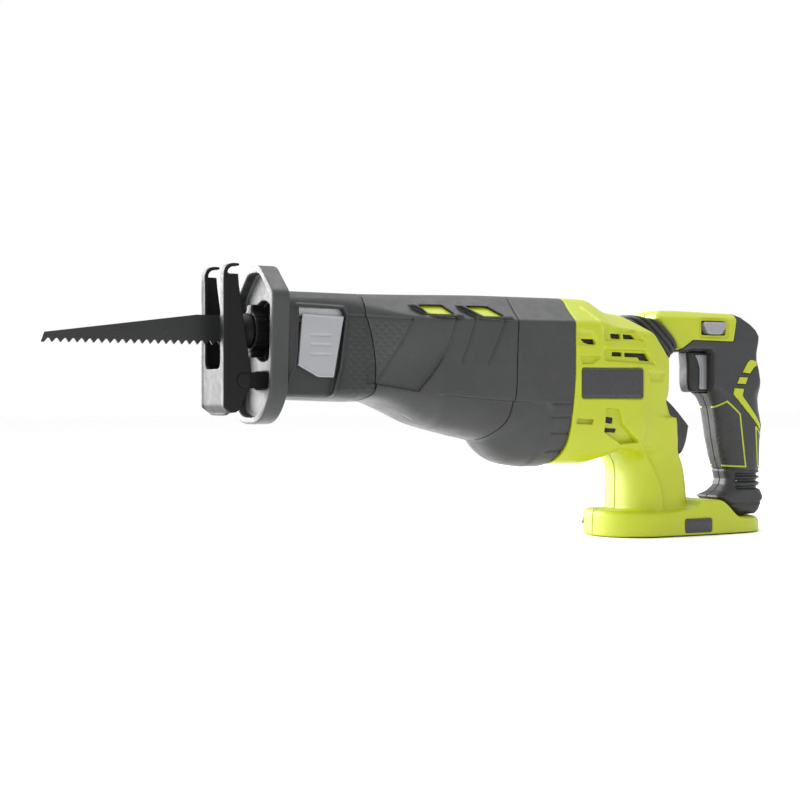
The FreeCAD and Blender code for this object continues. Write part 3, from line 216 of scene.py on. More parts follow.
def material(name, colour, rough, metal=0.0, grain=None, mottle=0.08, rough_spread=0.06,
             brushed=None, coat=0.0, scuff=0.0, shine=0.5):
    """A finish with mottled colour, uneven gloss and a moulded, cast or brushed grain.

    grain is (size in mm, height in mm); brushed is the axis that the strokes follow.
    """
    mat = bpy.data.materials.new(name)
    mat.use_nodes = True
    tree = mat.node_tree
    node, link = tree.nodes, tree.links
    shader = node["Principled BSDF"]
    shader.inputs["Metallic"].default_value = metal
    shader.inputs["Specular IOR Level"].default_value = shine
    shader.inputs["Coat Weight"].default_value = coat
    shader.inputs["Coat Roughness"].default_value = 0.25
    place = node.new("ShaderNodeTexCoord")
    source = place.outputs["Object"]
    if brushed is not None:
        stretch = node.new("ShaderNodeMapping")
        stretch.inputs["Scale"].default_value = [0.04 if i == brushed else 1.0
                                                 for i in range(3)]
        link.new(source, stretch.inputs["Vector"])
        source = stretch.outputs["Vector"]

    def noise(size_mm, detail, fed):
        texture = node.new("ShaderNodeTexNoise")
        texture.inputs["Scale"].default_value = 1000.0 / size_mm
        texture.inputs["Detail"].default_value = detail
        texture.inputs["Roughness"].default_value = 0.6
        link.new(fed, texture.inputs["Vector"])
        return texture.outputs["Fac"]

    def spread(value, low, high):
        scaled = node.new("ShaderNodeMapRange")
        scaled.inputs["From Min"].default_value = 0.3
        scaled.inputs["From Max"].default_value = 0.7
        scaled.inputs["To Min"].default_value = low
        scaled.inputs["To Max"].default_value = high
        link.new(value, scaled.inputs["Value"])
        return scaled.outputs["Result"]

    wide = noise(26.0, 3.0, source)
    fine = noise(grain[0] if grain else 1.2, 2.0, source)
    base = linear(colour)
    darker = [c * (1.0 - mottle) for c in base[:3]] + [1.0]
    lighter = [min(1.0, c * (1.0 + mottle)) for c in base[:3]] + [1.0]
    blend = node.new("ShaderNodeMix")
    blend.data_type = "RGBA"
    blend.inputs["A"].default_value = darker
    blend.inputs["B"].default_value = lighter
    link.new(spread(wide, 0.0, 1.0), blend.inputs["Factor"])
    speck = node.new("ShaderNodeMix")
    speck.data_type = "RGBA"
    speck.blend_type = "MULTIPLY"
    speck.inputs["Factor"].default_value = 1.0
    link.new(blend.outputs["Result"], speck.inputs["A"])
    link.new(spread(fine, 1.0 - mottle, 1.0 + mottle * 0.5), speck.inputs["B"])
    result = speck.outputs["Result"]
    if scuff:
        worn = node.new("ShaderNodeNewGeometry")
        edge = node.new("ShaderNodeMapRange")
        edge.inputs["From Min"].default_value = 0.53
        edge.inputs["From Max"].default_value = 0.60
        edge.inputs["To Max"].default_value = scuff
        link.new(worn.outputs["Pointiness"], edge.inputs["Value"])
        rub = node.new("ShaderNodeMix")
        rub.data_type = "RGBA"
        rub.inputs["B"].default_value = [min(1.0, c * 1.6 + 0.03) for c in base[:3]] + [1.0]
        link.new(edge.outputs["Result"], rub.inputs["Factor"])
        link.new(result, rub.inputs["A"])
        result = rub.outputs["Result"]
    link.new(result, shader.inputs["Base Color"])
    link.new(spread(noise(7.0, 4.0, source), rough - rough_spread, rough + rough_spread),
             shader.inputs["Roughness"])
    if grain:
        bump = node.new("ShaderNodeBump")
        bump.inputs["Distance"].default_value = grain[1] * MM
        bump.inputs["Strength"].default_value = 1.0
        link.new(fine, bump.inputs["Height"])
        link.new(bump.outputs["Normal"], shader.inputs["Normal"])
    return mat


LIME = material("lime_plastic", (162, 172, 16), 0.42, grain=(0.9, 0.02), mottle=0.025)
SKIN = material("soft_overmould", (42, 43, 44), 0.46, grain=(0.8, 0.20), mottle=0.16)
# Darker copy of the soft overmould for the neck: painted shade on the same rubber as the other
# covers.
NECK_PAINTED_SHADE = material("neck_overmould_painted_shade", (34, 35, 36), 0.48, grain=(0.8, 0.20), mottle=0.16,
                     shine=0.4)
SKIN_TOP = material("grip_overmould", (36, 37, 39), 0.50, grain=(0.6, 0.10), mottle=0.12)
BLACK = material("black_steel", (9, 9, 10), 0.5, grain=(0.5, 0.02), mottle=0.1,
                 scuff=0.2, shine=0.2)
BLADE = material("blade_coating", (22, 23, 24), 0.42, grain=(0.5, 0.015), mottle=0.12,
                 brushed=0, scuff=0.2, shine=0.35)
STEEL = material("ground_steel", (176, 177, 180), 0.26, metal=1.0, grain=(0.4, 0.006),
                 brushed=1)
ZINC = material("zinc_steel", (168, 168, 162), 0.36, metal=1.0, grain=(0.8, 0.01))
ALLOY = material("cast_alloy", (186, 187, 189), 0.48, metal=1.0, grain=(1.1, 0.06))
BRONZE = material("sintered_bronze", (176, 136, 84), 0.42, metal=1.0, grain=(0.5, 0.02))
COPPER = material("enamelled_copper", (190, 108, 62), 0.3, metal=1.0, grain=(0.8, 0.08),
                  brushed=0)
FERRITE = material("ferrite", (52, 52, 54), 0.6, grain=(0.6, 0.03))
DARK_PLASTIC = material("dark_plastic", (24, 24, 26), 0.45, grain=(0.8, 0.03))
# Near-black colour for the sheet behind the vents: painted shade inside the housing.
VENT_SHADE = material("vent_painted_shade", (8, 8, 9), 0.7, grain=(0.8, 0.01), mottle=0.05)
SILVER = material("silver_plastic", (142, 144, 147), 0.40, metal=0.3, grain=(0.6, 0.015),
                  mottle=0.04)
TRIGGER = material("trigger_plastic", (17, 18, 20), 0.5, grain=(0.7, 0.02))
RUBBER = material("bellows_rubber", (28, 28, 30), 0.5, grain=(0.9, 0.03))
BADGE = material("badge_plate", (40, 40, 44), 0.3, grain=(0.5, 0.01), coat=0.1)
RED = material("lead_sheath", (130, 30, 28), 0.4, grain=(0.7, 0.01))

CAD_FINISH = {
    "lime_plastic": LIME, "dark_overmould": SKIN, "black_steel": BLACK,
    "blade_steel": BLADE, "polished_steel": STEEL, "case_alloy": ALLOY,
    "bearing_bronze": BRONZE, "copper": COPPER, "magnet": FERRITE,
    "black_plastic": DARK_PLASTIC, "silver_plastic": SILVER, "trigger_plastic": TRIGGER,
    "bellows_rubber": RUBBER, "badge": BADGE, "zinc_steel": ZINC, "lead_sheath": RED,
}


def finish_cad_nodes():
    """Every CAD node that stays visible gets its slot's finish."""
    slot_of = {s["node"]: s["material_slot"] for s in frame["record"]["subparts"]}
    for name, node in frame["nodes"].items():
        node.data.materials.clear()
        blackened = name == "lever_pin"
        node.data.materials.append(BLACK if blackened else CAD_FINISH[slot_of[name]])


def place(piece, body, finish, slot, *nodes):
    """Give a piece its finish, its body and the CAD nodes that it stands for."""
    piece.data.materials.append(finish)
    if nodes:
        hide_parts(*nodes)
    if body:
        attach(piece, body)
    return piece


# --------------------------------------------------------------------------
# Covers: neck, gear cover, middle cover
# --------------------------------------------------------------------------
TOP_LINE = [(-300, 165.4), (-242, 165.0), (-215, 165.6), (-175, 166.8), (-136, 167.5),
            (-117, 167.5), (-60, 167.5)]
LOW_LINE = [(-300, 96.9), (-270, 96.0), (-245, 95.2), (-224, 94.8), (-219, 93.4),
            (-205, 87.2), (-192, 80.9), (-187, 79.2), (-160, 72.3), (-139, 67.6),
            (-120, 62.0), (-60, 58.0)]
SIDE_LINE = [(-300, 27.5), (-245, 27.8), (-228, 28.8), (-200, 31.2), (-150, 34.0),
             (-127, 35.2), (-105, 37.2), (-84, 38.0), (-60, 38.0)]
SHOULDER = [(-300, 157.6), (-252, 156.8), (-232, 154.0), (-206, 150.6), (-190, 149.6),
            (-60, 149.6)]
ROOF = [(-300, 17.4), (-246, 17.0), (-216, 12.5), (-192, 8.5), (-60, 8.0)]
WAIST_Z = 104.0
TOP_FLAT = 8.0

# joints between the shells, as z -> x
SEAM_NECK = [(90, -243), (95.6, -238), (100.6, -232.0), (108, -229.4), (121, -229.6),
             (133, -231.8), (145, -235), (152, -237.0), (158, -236.8), (166, -235.0)]
SEAM_MIDDLE = [(60, -152), (69, -145), (82, -133.5), (96, -129), (127, -127.3),
               (142, -126.6), (150, -126.0), (160, -123.2), (169, -119.4)]
SEAM_LIME = [(48, -98), (51, -94), (59, -88.5), (70, -86.2), (84, -85.2), (99, -83.8),
             (118, -82.6), (142, -82.6), (148, -82.4), (153, -81.4), (160, -79.0), (169, -74.0)]
SEAM_GAP = 0.18

S_RIDGE = [(-171.9, 151), (-175.6, 138.3), (-181.5, 124.5), (-189.3, 113.4),
           (-200.2, 101.6), (-216.7, 104.4), (-236, 107.0), (-244, 151)]
WINDOWS = [
    [(-196.9, 157.6), (-180.1, 157.8), (-175.6, 152.6), (-191.9, 152.4)],
    [(-161.2, 157.8), (-146.2, 158.0), (-139.4, 151.9), (-153.2, 151.7)],
]
HOODS = [
    [(-203.5, 158.6), (-196.0, 162.6), (-181, 163.2), (-172.8, 158.6), (-167.0, 150.4),
     (-178, 150.6), (-192, 151.6)],
    [(-167.8, 159.2), (-160.4, 163.0), (-145.2, 163.6), (-136.8, 158.0), (-129.6, 149.6),
     (-141, 149.8), (-156, 150.6)],
]
PANEL = [(-236, 149.2), (-204.4, 148.2), (-212.4, 132.4), (-221.7, 117.4),
         (-230.3, 104.6), (-236, 101)]


def shell_form(x, y, z, power=2.5):
    """Section shared by the covers: flat sides, sloping shoulders, round belly."""
    top, low, half = curve(x, TOP_LINE), curve(x, LOW_LINE), curve(x, SIDE_LINE)
    side = np.abs(y)
    crease = curve(x, SHOULDER)
    run = half - curve(x, ROOF)
    rise = top - crease + 1.2
    slope = ((side - half) * rise + (z - crease) * run) / np.hypot(run, rise)
    fall = (WAIST_Z - z) / (WAIST_Z - low)
    body = (super_round([side / half, fall], power) - 1.0) * half
    field = smooth_max(body, slope, curve(x, [(-300, 5.0), (-246, 5.0), (-205, 2.2),
                                              (-60, 2.0)]))
    return smooth_max(field, z - top, curve(x, [(-300, 5.5), (-200, 4.0), (-60, 3.5)]))


def dimples(x, z, pitch, depth):
    """Staggered shallow dimples, as on a textured grip."""
    a = np.cos(2 * np.pi * x / pitch)
    b = np.cos(2 * np.pi * z / (pitch * 1.732))
    c = np.cos(2 * np.pi * (x / pitch * 0.5)) * np.cos(2 * np.pi * z / (pitch * 0.866) * 0.5)
    return depth * ramp(c + 0.25 * a * b, 0.1, 0.9)


def cover_relief(x, y, z):
    """Everything that is carved into or raised from the covers' sides."""
    side = ramp(np.abs(y), 13.0, 18.0)
    hollow = outline(x, z, S_RIDGE)
    deep = 2.9 * ramp(-hollow, -0.2, 0.8) * ramp(z, 147.0, 116.0) * ramp(x, -243.0, -222.0)
    ridge = curve(x, [(-190, 100.8), (-183.6, 100.2), (-159, 97.9), (-129.9, 95.8),
                      (-104, 94.6)])
    under = (2.4 * ramp(ridge - z, -0.2, 0.9) * ramp(x, -187.0, -179.0)
             * ramp(z, 76.0, 97.0))
    lines = groove(path_distance(x, z, [(-203.6, 148.6), (-211.9, 133.0), (-221.9, 117.6),
                                        (-230.8, 104.4)]), 1.0, 0.8)
    lines = lines + groove(path_distance(x, z, [(-250.5, 149.9), (-236.3, 149.6),
                                                (-203.6, 148.6)]), 0.9, 0.8)
    for faint in ([(-158.1, 149.4), (-161.9, 138.5), (-168.5, 121.8)],
                  [(-136.4, 149.0), (-141.3, 137.0), (-148.9, 121.1)]):
        lines = lines + groove(path_distance(x, z, faint), 1.0, 0.9)
    lines = lines + groove(path_distance(x, z, [(-171.9, 151), (-175.6, 138.3),
                                                (-179, 130)]), 1.0, 0.9)
    return (deep + under + lines) * side


def hoods(x, z):
    """Height of the two raised brows over the windows."""
    height = 0.0
    for brow in HOODS:
        height = np.maximum(height, 3.2 * ramp(-outline(x, z, brow), -0.5, 1.4))
    return height


def window_cut(x, z, grow):
    inside = None
    for pane in WINDOWS:
        edge = outline(x, z, pane) - grow
        inside = edge if inside is None else np.minimum(inside, edge)
    return inside


def make_neck():
    recess = [(-283.6, 155.0), (-253.2, 154.0), (-251.0, 150.6), (-255.6, 116.5),
              (-260.2, 100.8), (-264.0, 97.8), (-292.7, 98.8), (-290.0, 108.0),
              (-285.6, 117.0), (-284.4, 126.0)]

    def field(x, y, z):
        form = shell_form(x, y, z) + cover_relief(x, y, z)
        strip = ramp(x, -251.6, -249.6) * ramp(z, 97, 99) * ramp(z, 149.0, 147.5)
        lean = curve(z, [(95, -259), (118, -252.2), (134, -249.8), (150, -248.8)])
        strip = strip * ramp(x - lean, 0.0, 0.8) * ramp(np.abs(y), 20, 22)
        form = form + dimples(x, z, 3.1, 0.34) * strip
        form = form + groove(np.abs(x - lean), 0.6, 0.6) * ramp(z, 98, 100) * ramp(z, 150, 149)
        rim = outline(x, z, recess)
        form = form - 0.9 * ramp(rim, 2.6, 1.2) * ramp(-y, 20, 22) * ramp(rim, -0.6, 0.2)
        swing_room = 3.2 * ramp(z, 144.0, 146.5)
        pocket = smooth_max(rim, y + 24.45 - swing_room, 0.8)
        form = smooth_max(form, -pocket, 0.9)
        form = smooth_max(form, x - curve(z, SEAM_NECK) + SEAM_GAP, 0.7)
        form = smooth_max(form, -290.9 - x, 0.7)
        throat = np.hypot(y, z - AXIS_Z) - THROAT_R
        form = smooth_max(form, -np.maximum(throat, x + 277.0), 0.6)
        slot = box_field(y, z, (-13.2, 103.5), (13.2, 113.9), 1.0)
        return smooth_max(form, -np.maximum(slot, x + 261.0), 0.5)

    piece = moulded("neck_cover", field, (-291, -30, 93), (-228, 30, 167), FINE)
    # The neck takes the darker overmould copy: painted shade.
    place(piece, "frame", NECK_PAINTED_SHADE, "dark_overmould", "neck_boot")


def make_gear_cover():
    def field(x, y, z):
        form = shell_form(x, y, z) + cover_relief(x, y, z)
        panel = ramp(-outline(x, z, PANEL), 0.4, 1.6) * ramp(np.abs(y), 20, 22)
        form = form + dimples(x, z, 3.1, 0.34) * panel
        form = form - hoods(x, z) * ramp(np.abs(y), 7.0, 12.0)
        side = ramp(np.abs(y), 12.0, 14.0)
        form = form + 3.2 * ramp(-window_cut(x, z, 0.5), -0.3, 0.5) * side
        form = smooth_max(form, curve(z, SEAM_NECK) + SEAM_GAP - x, 0.7)
        return smooth_max(form, x - curve(z, SEAM_MIDDLE) + SEAM_GAP, 0.7)

    piece = moulded("gear_cover", field, (-248, -38, 62), (-115, 38, 171), FINE)
    place(piece, "frame", SKIN, "dark_overmould", "gear_boot")

    def panes(x, y, z):
        form = shell_form(x, y, z) - hoods(x, z) + 1.9
        form = np.abs(form + 1.2) - 1.2
        form = smooth_max(form, window_cut(x, z, 0.3), 0.4)
        return smooth_max(form, 13.0 - np.abs(y), 0.4)

    piece = moulded("window_panes", panes, (-200, -36, 149), (-137, 36, 166), CRISP)
    place(piece, "frame", LIME, "lime_plastic", "shoulder_windows")


BAND_FRONT = [(48, -110), (51, -109.4), (56.4, -108.4), (63.8, -107), (77, -104.2),
              (89, -101.6), (94, -105.2), (118, -105.0), (150, -104.0), (168, -101)]


def make_middle_cover():
    def field(x, y, z):
        upper = shell_form(x, y, z) + cover_relief(x, y, z)
        side = np.abs(y)
        half = curve(x, SIDE_LINE)
        fall = (WAIST_Z - z) / (WAIST_Z - 50.8)
        nose = (-103.0 - x) / 45.5
        bulge = (super_round([side / (half - 1.2), fall, nose], 2.6) - 1.0) * 36.0
        drum = (super_round([side / half, fall], 2.7) - 1.0) * half
        drum = smooth_max(drum, curve(z, BAND_FRONT) - x, 4.0)
        low = smooth_max(smooth_min(bulge, drum, 1.6), z - 96.0, 1.0)
        form = smooth_min(upper, low, 0.8)
        on_band = ramp(x, -101.5, -100.0)
        for level in (94.2, 85.1, 74.0, 61.6):
            form = form + groove(np.abs(z - level), 0.8, 0.7) * on_band * ramp(side, 12, 16)
        form = smooth_max(form, curve(z, SEAM_MIDDLE) + SEAM_GAP - x, 0.7)
        return smooth_max(form, x - curve(z, SEAM_LIME) + SEAM_GAP, 0.7)

    piece = moulded("middle_cover", field, (-153, -39, 49), (-67, 39, 169), FINE)
    place(piece, "frame", SKIN, "dark_overmould", "mid_boot")


# --------------------------------------------------------------------------
# Nose guard
# --------------------------------------------------------------------------
def make_guard():
    def rim(y, z, inset):
        side = np.abs(y)
        chamfer = (side - 10) * 0.643 + (z - 181.2) * 0.766
        half = curve(z, [(80, 28.4), (110, 28.8), (140, 30.0), (165, 31.2), (182, 31.2)])
        low = (super_round([side / half, (108 - z) / 27.0], 2.7) - 1.0) * half
        form = smooth_max(low, chamfer, 3.0)
        return smooth_max(form, z - 181.2, 3.0) + inset

    def field(x, y, z):
        x = x + 3.4 * ramp(z, 108.0, 82.0)
        form = smooth_max(rim(y, z, 0.0), np.abs(x + 297) - 6.0, 1.3)
        dish = smooth_max(rim(y, z, 4.6), x + 296.5, 1.6)
        form = smooth_max(form, -dish, 0.8)
        throat = np.hypot(y, z - AXIS_Z) - THROAT_R
        form = smooth_max(form, -throat, 0.8)
        slot = box_field(y, z, (-13.4, 103.3), (13.4, 114.1), 1.0)
        return smooth_max(form, -slot, 0.6)

    piece = moulded("nose_flange", field, (-307, -32, 80), (-290.8, 32, 182), CRISP + 0.1)
    place(piece, "frame", SKIN, "dark_overmould", "nose_guard")


# --------------------------------------------------------------------------
# Motor housing, column and base
# --------------------------------------------------------------------------
BARREL = [(-110, 51), (-64, 51), (-41, 61.0), (-30, 60), (-20, 56), (12, 56), (13.0, 62),
          (8.5, 84), (2.0, 96), (5.0, 101.5), (8.8, 108.5), (9.2, 118), (6.0, 124.8),
          (0.8, 128.5), (-9.6, 138.6), (-19.0, 150.0), (-27, 156.6),
          (-40.4, 158.7), (-44, 160), (-54.6, 167.0), (-66, 167.5), (-110, 167.5)]
VENTS = [
    # corners on the flank, slot depth
    ([(-78.3, 138.1), (-66.8, 137.9), (-65.8, 134.4), (-71.0, 134.4), (-75.5, 135.6)], 5),
    ([(-81.2, 83.7), (-67.3, 83.1), (-68.5, 79.8), (-81.6, 80.2)], 3),
    ([(-53.0, 142.1), (-44.2, 141.9), (-44.4, 138.5), (-52.4, 138.8)], 6),
    ([(-42.4, 141.8), (-34.5, 141.6), (-31.4, 138.5), (-41.6, 138.6)], 6),
    ([(-51.6, 129.5), (-43.0, 129.3), (-43.0, 126.5), (-51.4, 126.7)], 6),
    ([(-41.0, 129.1), (-22.5, 128.8), (-18.3, 123.5), (-27.7, 123.9), (-29.3, 126.1),
      (-40.6, 126.3)], 6),
    ([(-17.6, 113.4), (-10.6, 113.2), (-13.8, 110.9)], 3),
    ([(-55.3, 84.7), (-49.6, 83.9), (-50.0, 80.2), (-55.8, 80.8)], 6),
    ([(-56.6, 77.0), (-46.2, 76.6), (-46.4, 74.0), (-57.1, 74.4)], 6),
]
HOLLOWS = [
    # corners of a shallow recess, depth, edge width
    ([(-78.2, 126.4), (-60.5, 126.6), (-68.0, 120.8), (-77.4, 120.8)], 2.0, 1.3),
    ([(-81.8, 144.6), (-69.0, 144.0), (-64.5, 137.6), (-66.4, 132.8), (-81.8, 133.6)],
     1.2, 2.0),
    ([(-57.5, 91.0), (-45.8, 90.6), (-42.0, 79.4), (-26.0, 66.8), (-42.0, 65.8),
      (-58.0, 74.4)], 3.6, 1.6),
    ([(-60.0, 145.4), (-31.0, 145.0), (-24.0, 137.4), (-58.0, 137.0)], 1.7, 1.2),
    ([(-59.0, 131.4), (-24.0, 131.0), (-13.0, 121.0), (-58.0, 123.4)], 1.7, 1.2),
    ([(-22.0, 117.6), (-2.0, 116.6), (-6.0, 108.6), (-19.0, 109.0)], 1.4, 2.4),
]


def barrel_form(x, y, z):
    side = np.abs(y)
    half = curve(x, [(-110, 37.6), (-84, 38.0), (-40, 37.8), (-20, 36.6), (-4, 33.0),
                     (12, 25.5)])
    profile = outline(x, z, BARREL)
    top = curve(x, [(-110, 167.5), (-66, 167.5), (-55, 166.8), (-48, 163.0),
                    (-41, 159.6), (-26, 158.2), (10, 150)])
    run = half - TOP_FLAT
    shoulder = curve(x, [(-110, 149.6), (-70, 149.4), (-56, 148.4), (-46, 145.6),
                         (10, 143.0)])
    rise = top - shoulder + 1.2
    slope = ((side - half) * rise + (z - shoulder) * run) / np.hypot(run, rise)
    fall = (96.0 - z) / (96.0 - 50.8)
    body = (super_round([side / half, fall], 3.0) - 1.0) * half
    form = smooth_max(body, slope, 3.0)
    form = smooth_max(form, profile, 3.4)
    rear = outline(x, z, [(-22, 62.4), (26, 61.8), (30, 150), (-12, 150), (-24, 120)])
    flat = ramp(-rear, -1.0, 3.0) * ramp(z, 118.0, 84.0)
    return form + flat * ramp(side, 20, 30) * 1.4


def column_form(x, y, z):
    side = np.abs(y)
    rear = curve(z, [(0, 28.2), (27, 27.5), (50, 23.4), (58, 19.0), (68, 14.0), (82, 10.4),
                     (98, 2.0)])
    front = curve(z, [(0, -23.6), (40, -23.0), (52, -24.6), (62, -31.5)])
    half = curve(z, [(0, 28.6), (40, 28.2), (58, 29.0), (68, 31.0), (84, 33.4)])
    back = (super_round([(x - 2.0) / (rear - 2.0), side / half], 4.6) - 1.0)
    ahead = (super_round([(2.0 - x) / (2.0 - front), side / half], 2.4) - 1.0)
    form = np.where(x > 2.0, back, ahead) * 24.0
    lean = curve(z, [(16, -1.0), (30, -1.6), (42.5, -5.6), (55, -12), (64, -21), (90, -30)])
    pinch = ramp(x - lean, -1.5, 1.5) * 1.5 * ramp(side, 16, 24)
    form = form + pinch * ramp(z, 70.0, 58.0)
    return smooth_max(form, z - 84.0, 1.0)


def base_form(x, y, z):
    side = np.abs(y)
    length = np.clip(-6.0 - x, 0, None)
    nose = np.sqrt((length / 36.5) ** 2 + (side / 36.5) ** 2)
    front = (nose - 1.0) * 36.5
    tail_x, tail_r = 65.4, 33.8
    back = np.clip(x - tail_x, 0, None)
    tail = curve(x, [(-60, 36.5), (10, 36.5), (50, 35.8), (65, 34.2), (102, 33.8)])
    rear = np.sqrt(back ** 2 + side ** 2) - tail_r
    plan = np.where(x < 10.0, front, np.where(x > tail_x, rear, side - tail))
    top = curve(x, [(-60, 18.6), (0, 18.8), (24, 20.5), (30, 24.6), (46, 24.4),
                    (49, 23.4), (64, 12.0), (68, 10.9), (102, 10.8)])
    edge = ramp(side, 22.0, 36.5) * 1.6 * ramp(x, 20.0, 0.0)
    belly = 0.5 * ramp(side, 20, 36)
    form = smooth_max(plan + (z - 8.0) * 0.03, z - top + edge, 4.0)
    ledge = smooth_max(plan + 2.0, z - 6.0, 0.5)
    form = smooth_min(form, ledge, 0.5)
    return smooth_max(form, belly - z, 1.2)


def make_housing():
    screws = [(-60, 154), (-56, 66), (-4, 136), (3, 104), (-30, 68), (-36, 9), (50, 8)]

    def field(x, y, z):
        form = barrel_form(x, y, z)
        side = ramp(np.abs(y), 18.0, 22.0)
        carved = 0.0
        for corners, depth, soft in HOLLOWS:
            carved = np.maximum(carved, depth * ramp(-outline(x, z, corners), -0.5, soft))
        bead = path_distance(x, z, [(-58.0, 133.0), (-25.0, 132.4)])
        carved = carved - 1.1 * ramp(bead, 2.6, 1.0)
        carved = carved - 0.9 * ramp(path_distance(x, z, [(-65.5, 160), (-61.6, 153),
                                                          (-58.6, 143.6)]), 2.6, 0.9)
        form = form + carved * side
        form = smooth_max(form, curve(z, SEAM_LIME) + SEAM_GAP - x, 0.7)
        badge = box_field(x, z, (-77.8, 96.9), (-25.4, 118.9), 2.0)
        form = form + 0.9 * ramp(-badge, -0.3, 0.3) * ramp(np.abs(y), 30, 32)
        form = smooth_min(form, column_form(x, y, z), 3.0)
        form = smooth_min(form, base_form(x, y, z), 2.4)
        ear = smooth_max(box_field(x, z, (80.2, 2.0), (91.8, 23.8), 3.4), np.abs(y) - 4.0,
                         0.6)
        form = smooth_min(form, ear, 0.6)
        for corners, depth in VENTS:
            slot = smooth_max(outline(x, z, corners), 37.5 - depth - np.abs(y), 0.5)
            form = smooth_max(form, -slot, 0.5)
        plate = box_field(x, z, (11.4, 1.4), (36.6, 12.6), 2.4)
        form = form + 0.7 * ramp(-plate, -0.3, 0.3) * ramp(np.abs(y), 33, 34)
        wide = super_round([np.where(x > 2, (x - 2) / 19.0, (2 - x) / 22.6),
                            np.abs(y) / 24.6], 3.0)
        socket = (wide - 1.0) * 20.0
        form = smooth_max(form, -np.maximum(socket, z - 62.0), 0.8)
        room = np.maximum(np.hypot(y, z - MOTOR_Z) - 30.0, x + 77.6)
        form = smooth_max(form, -room, 0.6)
        motor = np.maximum(np.hypot(y, z - MOTOR_Z) - 23.4, x)
        form = smooth_max(form, -motor, 0.5)
        pin = np.hypot(x - FOOT_PIN[0], z - FOOT_PIN[1]) - 3.1
        form = smooth_max(form, -pin, 0.5)
        for sx, sz in screws:
            well = smooth_max(np.hypot(x - sx, z - sz) - 3.2, 30.0 - y, 0.4)
            form = smooth_max(form, -well, 0.4)
        return form

    low, high = (-100, 0, -0.5), (104, 39, 169)
    for name, node, sign in (("motor_housing_right", "housing_right", 1.0),
                             ("motor_housing_left", "housing_left", -1.0)):
        def half(x, y, z, sign=sign):
            return smooth_max(field(x, sign * y, z), 0.1 - y, 0.5)
        piece = moulded(name, half, low, high, FINE + 0.05, mirror=sign < 0)
        place(piece, "frame", LIME, "lime_plastic", node)


def make_vent_shade_sheet():
    """Dark sheet behind the slots, seen through them: painted shade inside the housing."""
    def field(x, y, z):
        skin = np.abs(barrel_form(x, y, z) + 4.6) - 0.8
        shape = None
        for corners, depth in VENTS:
            edge = outline(x, z, corners) - 1.0
            shape = edge if shape is None else np.minimum(shape, edge)
        return np.maximum(np.maximum(skin, shape), 20.0 - np.abs(y))

    piece = moulded("vent_shade_sheet", field, (-84, -38, 72), (-8, 38, 144), CRISP)
    place(piece, "frame", VENT_SHADE, "black_plastic")


def make_badges():
    for name, node, span, depth, at in (
            ("flank_badge", "side_badges", ((-77.2, 97.5), (-26.0, 118.3)), 0.75, 37.35),
            ("base_plate", "base_badges", ((12.0, 2.0), (36.0, 12.0)), 0.6, 36.0)):
        def field(x, y, z):
            plate = box_field(x, z, span[0], span[1], 1.8)
            frame_line = groove(np.abs(plate + 1.3), 0.35, 0.3)
            face = np.abs(np.abs(y) - at) - depth
            return smooth_max(plate, face, 0.4) + frame_line * (np.abs(y) > at)

        low = (span[0][0], -39, span[0][1])
        high = (span[1][0], 39, span[1][1])
        piece = moulded(name, field, low, high, CRISP)
        place(piece, "frame", BADGE, "badge", node)


def make_pad():
    def field(x, y, z):
        side = outline(x, z, [(2.6, 98.2), (8.4, 100.2), (12.0, 97.4), (30.6, 77.8),
                              (29.8, 74.2), (26.4, 57.6), (23.8, 55.6), (18.4, 59.0),
                              (10, 80)])
        half = curve(z, [(55, 11.0), (60, 15.4), (78, 17.4), (95, 15.6), (100, 12.0)])
        form = smooth_max(side, np.abs(y) - half, 2.4)
        return form + groove(path_distance(x, z, [(15.6, 90.4), (22.0, 84.0), (24.0, 70.0)]),
                             0.5, 0.8)

    piece = moulded("column_pad", field, (4, -18, 54), (34, 18, 101), CRISP)
    place(piece, "frame", SKIN_TOP, "dark_overmould", "rear_pad")


def make_bellows():
    def field(x, y, z):
        along = 0.667 * x + 0.745 * z          # from the barrel to the handle
        across = 0.745 * x - 0.667 * z
        start, end, pitch = 95.0, 115.3, 4.3
        round_ = super_round([np.abs(y) / 21.0, np.abs(across + 95.5) / 24.0], 3.4)
        form = (round_ - 1.0) * 20.0
        roof = 157.6 - 0.17 * (x + 14.0) - 0.004 * y ** 2
        form = smooth_max(form, (z - roof) * 0.98, 4.0)
        form = form + 1.7 * (1.0 - np.abs(np.sin(np.pi * (end - along) / pitch))) ** 1.5
        form = smooth_max(form, start - along, 0.8)
        return smooth_max(form, along - end, 0.8)

    piece = moulded("bellows_boot", field, (-22, -22, 116), (34, 22, 163), CRISP)
    place(piece, None, RUBBER, "bellows_rubber", "bellows")
    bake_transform(piece)


# --------------------------------------------------------------------------
# Handle
# --------------------------------------------------------------------------
HANDLE = [(2.4, 154.4), (3.4, 159.0), (9.4, 161.3), (22, 161.6), (77.0, 160.4),
          (84.4, 158.0), (91.6, 153.0), (95.8, 148.6), (98.0, 144.0), (97.8, 139.6),
          (96.2, 131), (96.4, 126), (98.6, 119.5), (99.8, 112.8), (101.4, 103.0),
          (102.6, 90.4), (104.2, 84.0), (105.9, 77.4), (105.0, 72.6), (104.4, 66.0),
          (104.2, 46.0), (104.2, 36.0), (102.6, 23.2), (98.6, 14.2), (95.6, 11.4),
          (79.0, 11.2), (71.4, 16.4), (62.8, 23.2), (60.4, 24.4), (60.8, 26.0),
          (67.4, 29.0), (71.8, 33.8), (72.8, 38.0), (70.6, 45.6), (67.6, 54.6),
          (64.6, 68.0), (62.0, 84.0), (60.4, 91.6), (56.6, 98.8), (53.0, 101.8),
          (52.2, 104.0), (52.2, 130.0), (50.4, 131.4), (24.6, 131.2), (20.6, 135.2)]
LIME_ARM = [(0, 170), (0, 120), (20.6, 130.6), (34.8, 139.9), (72.2, 139.3), (76.0, 162),
            (76.0, 170)]
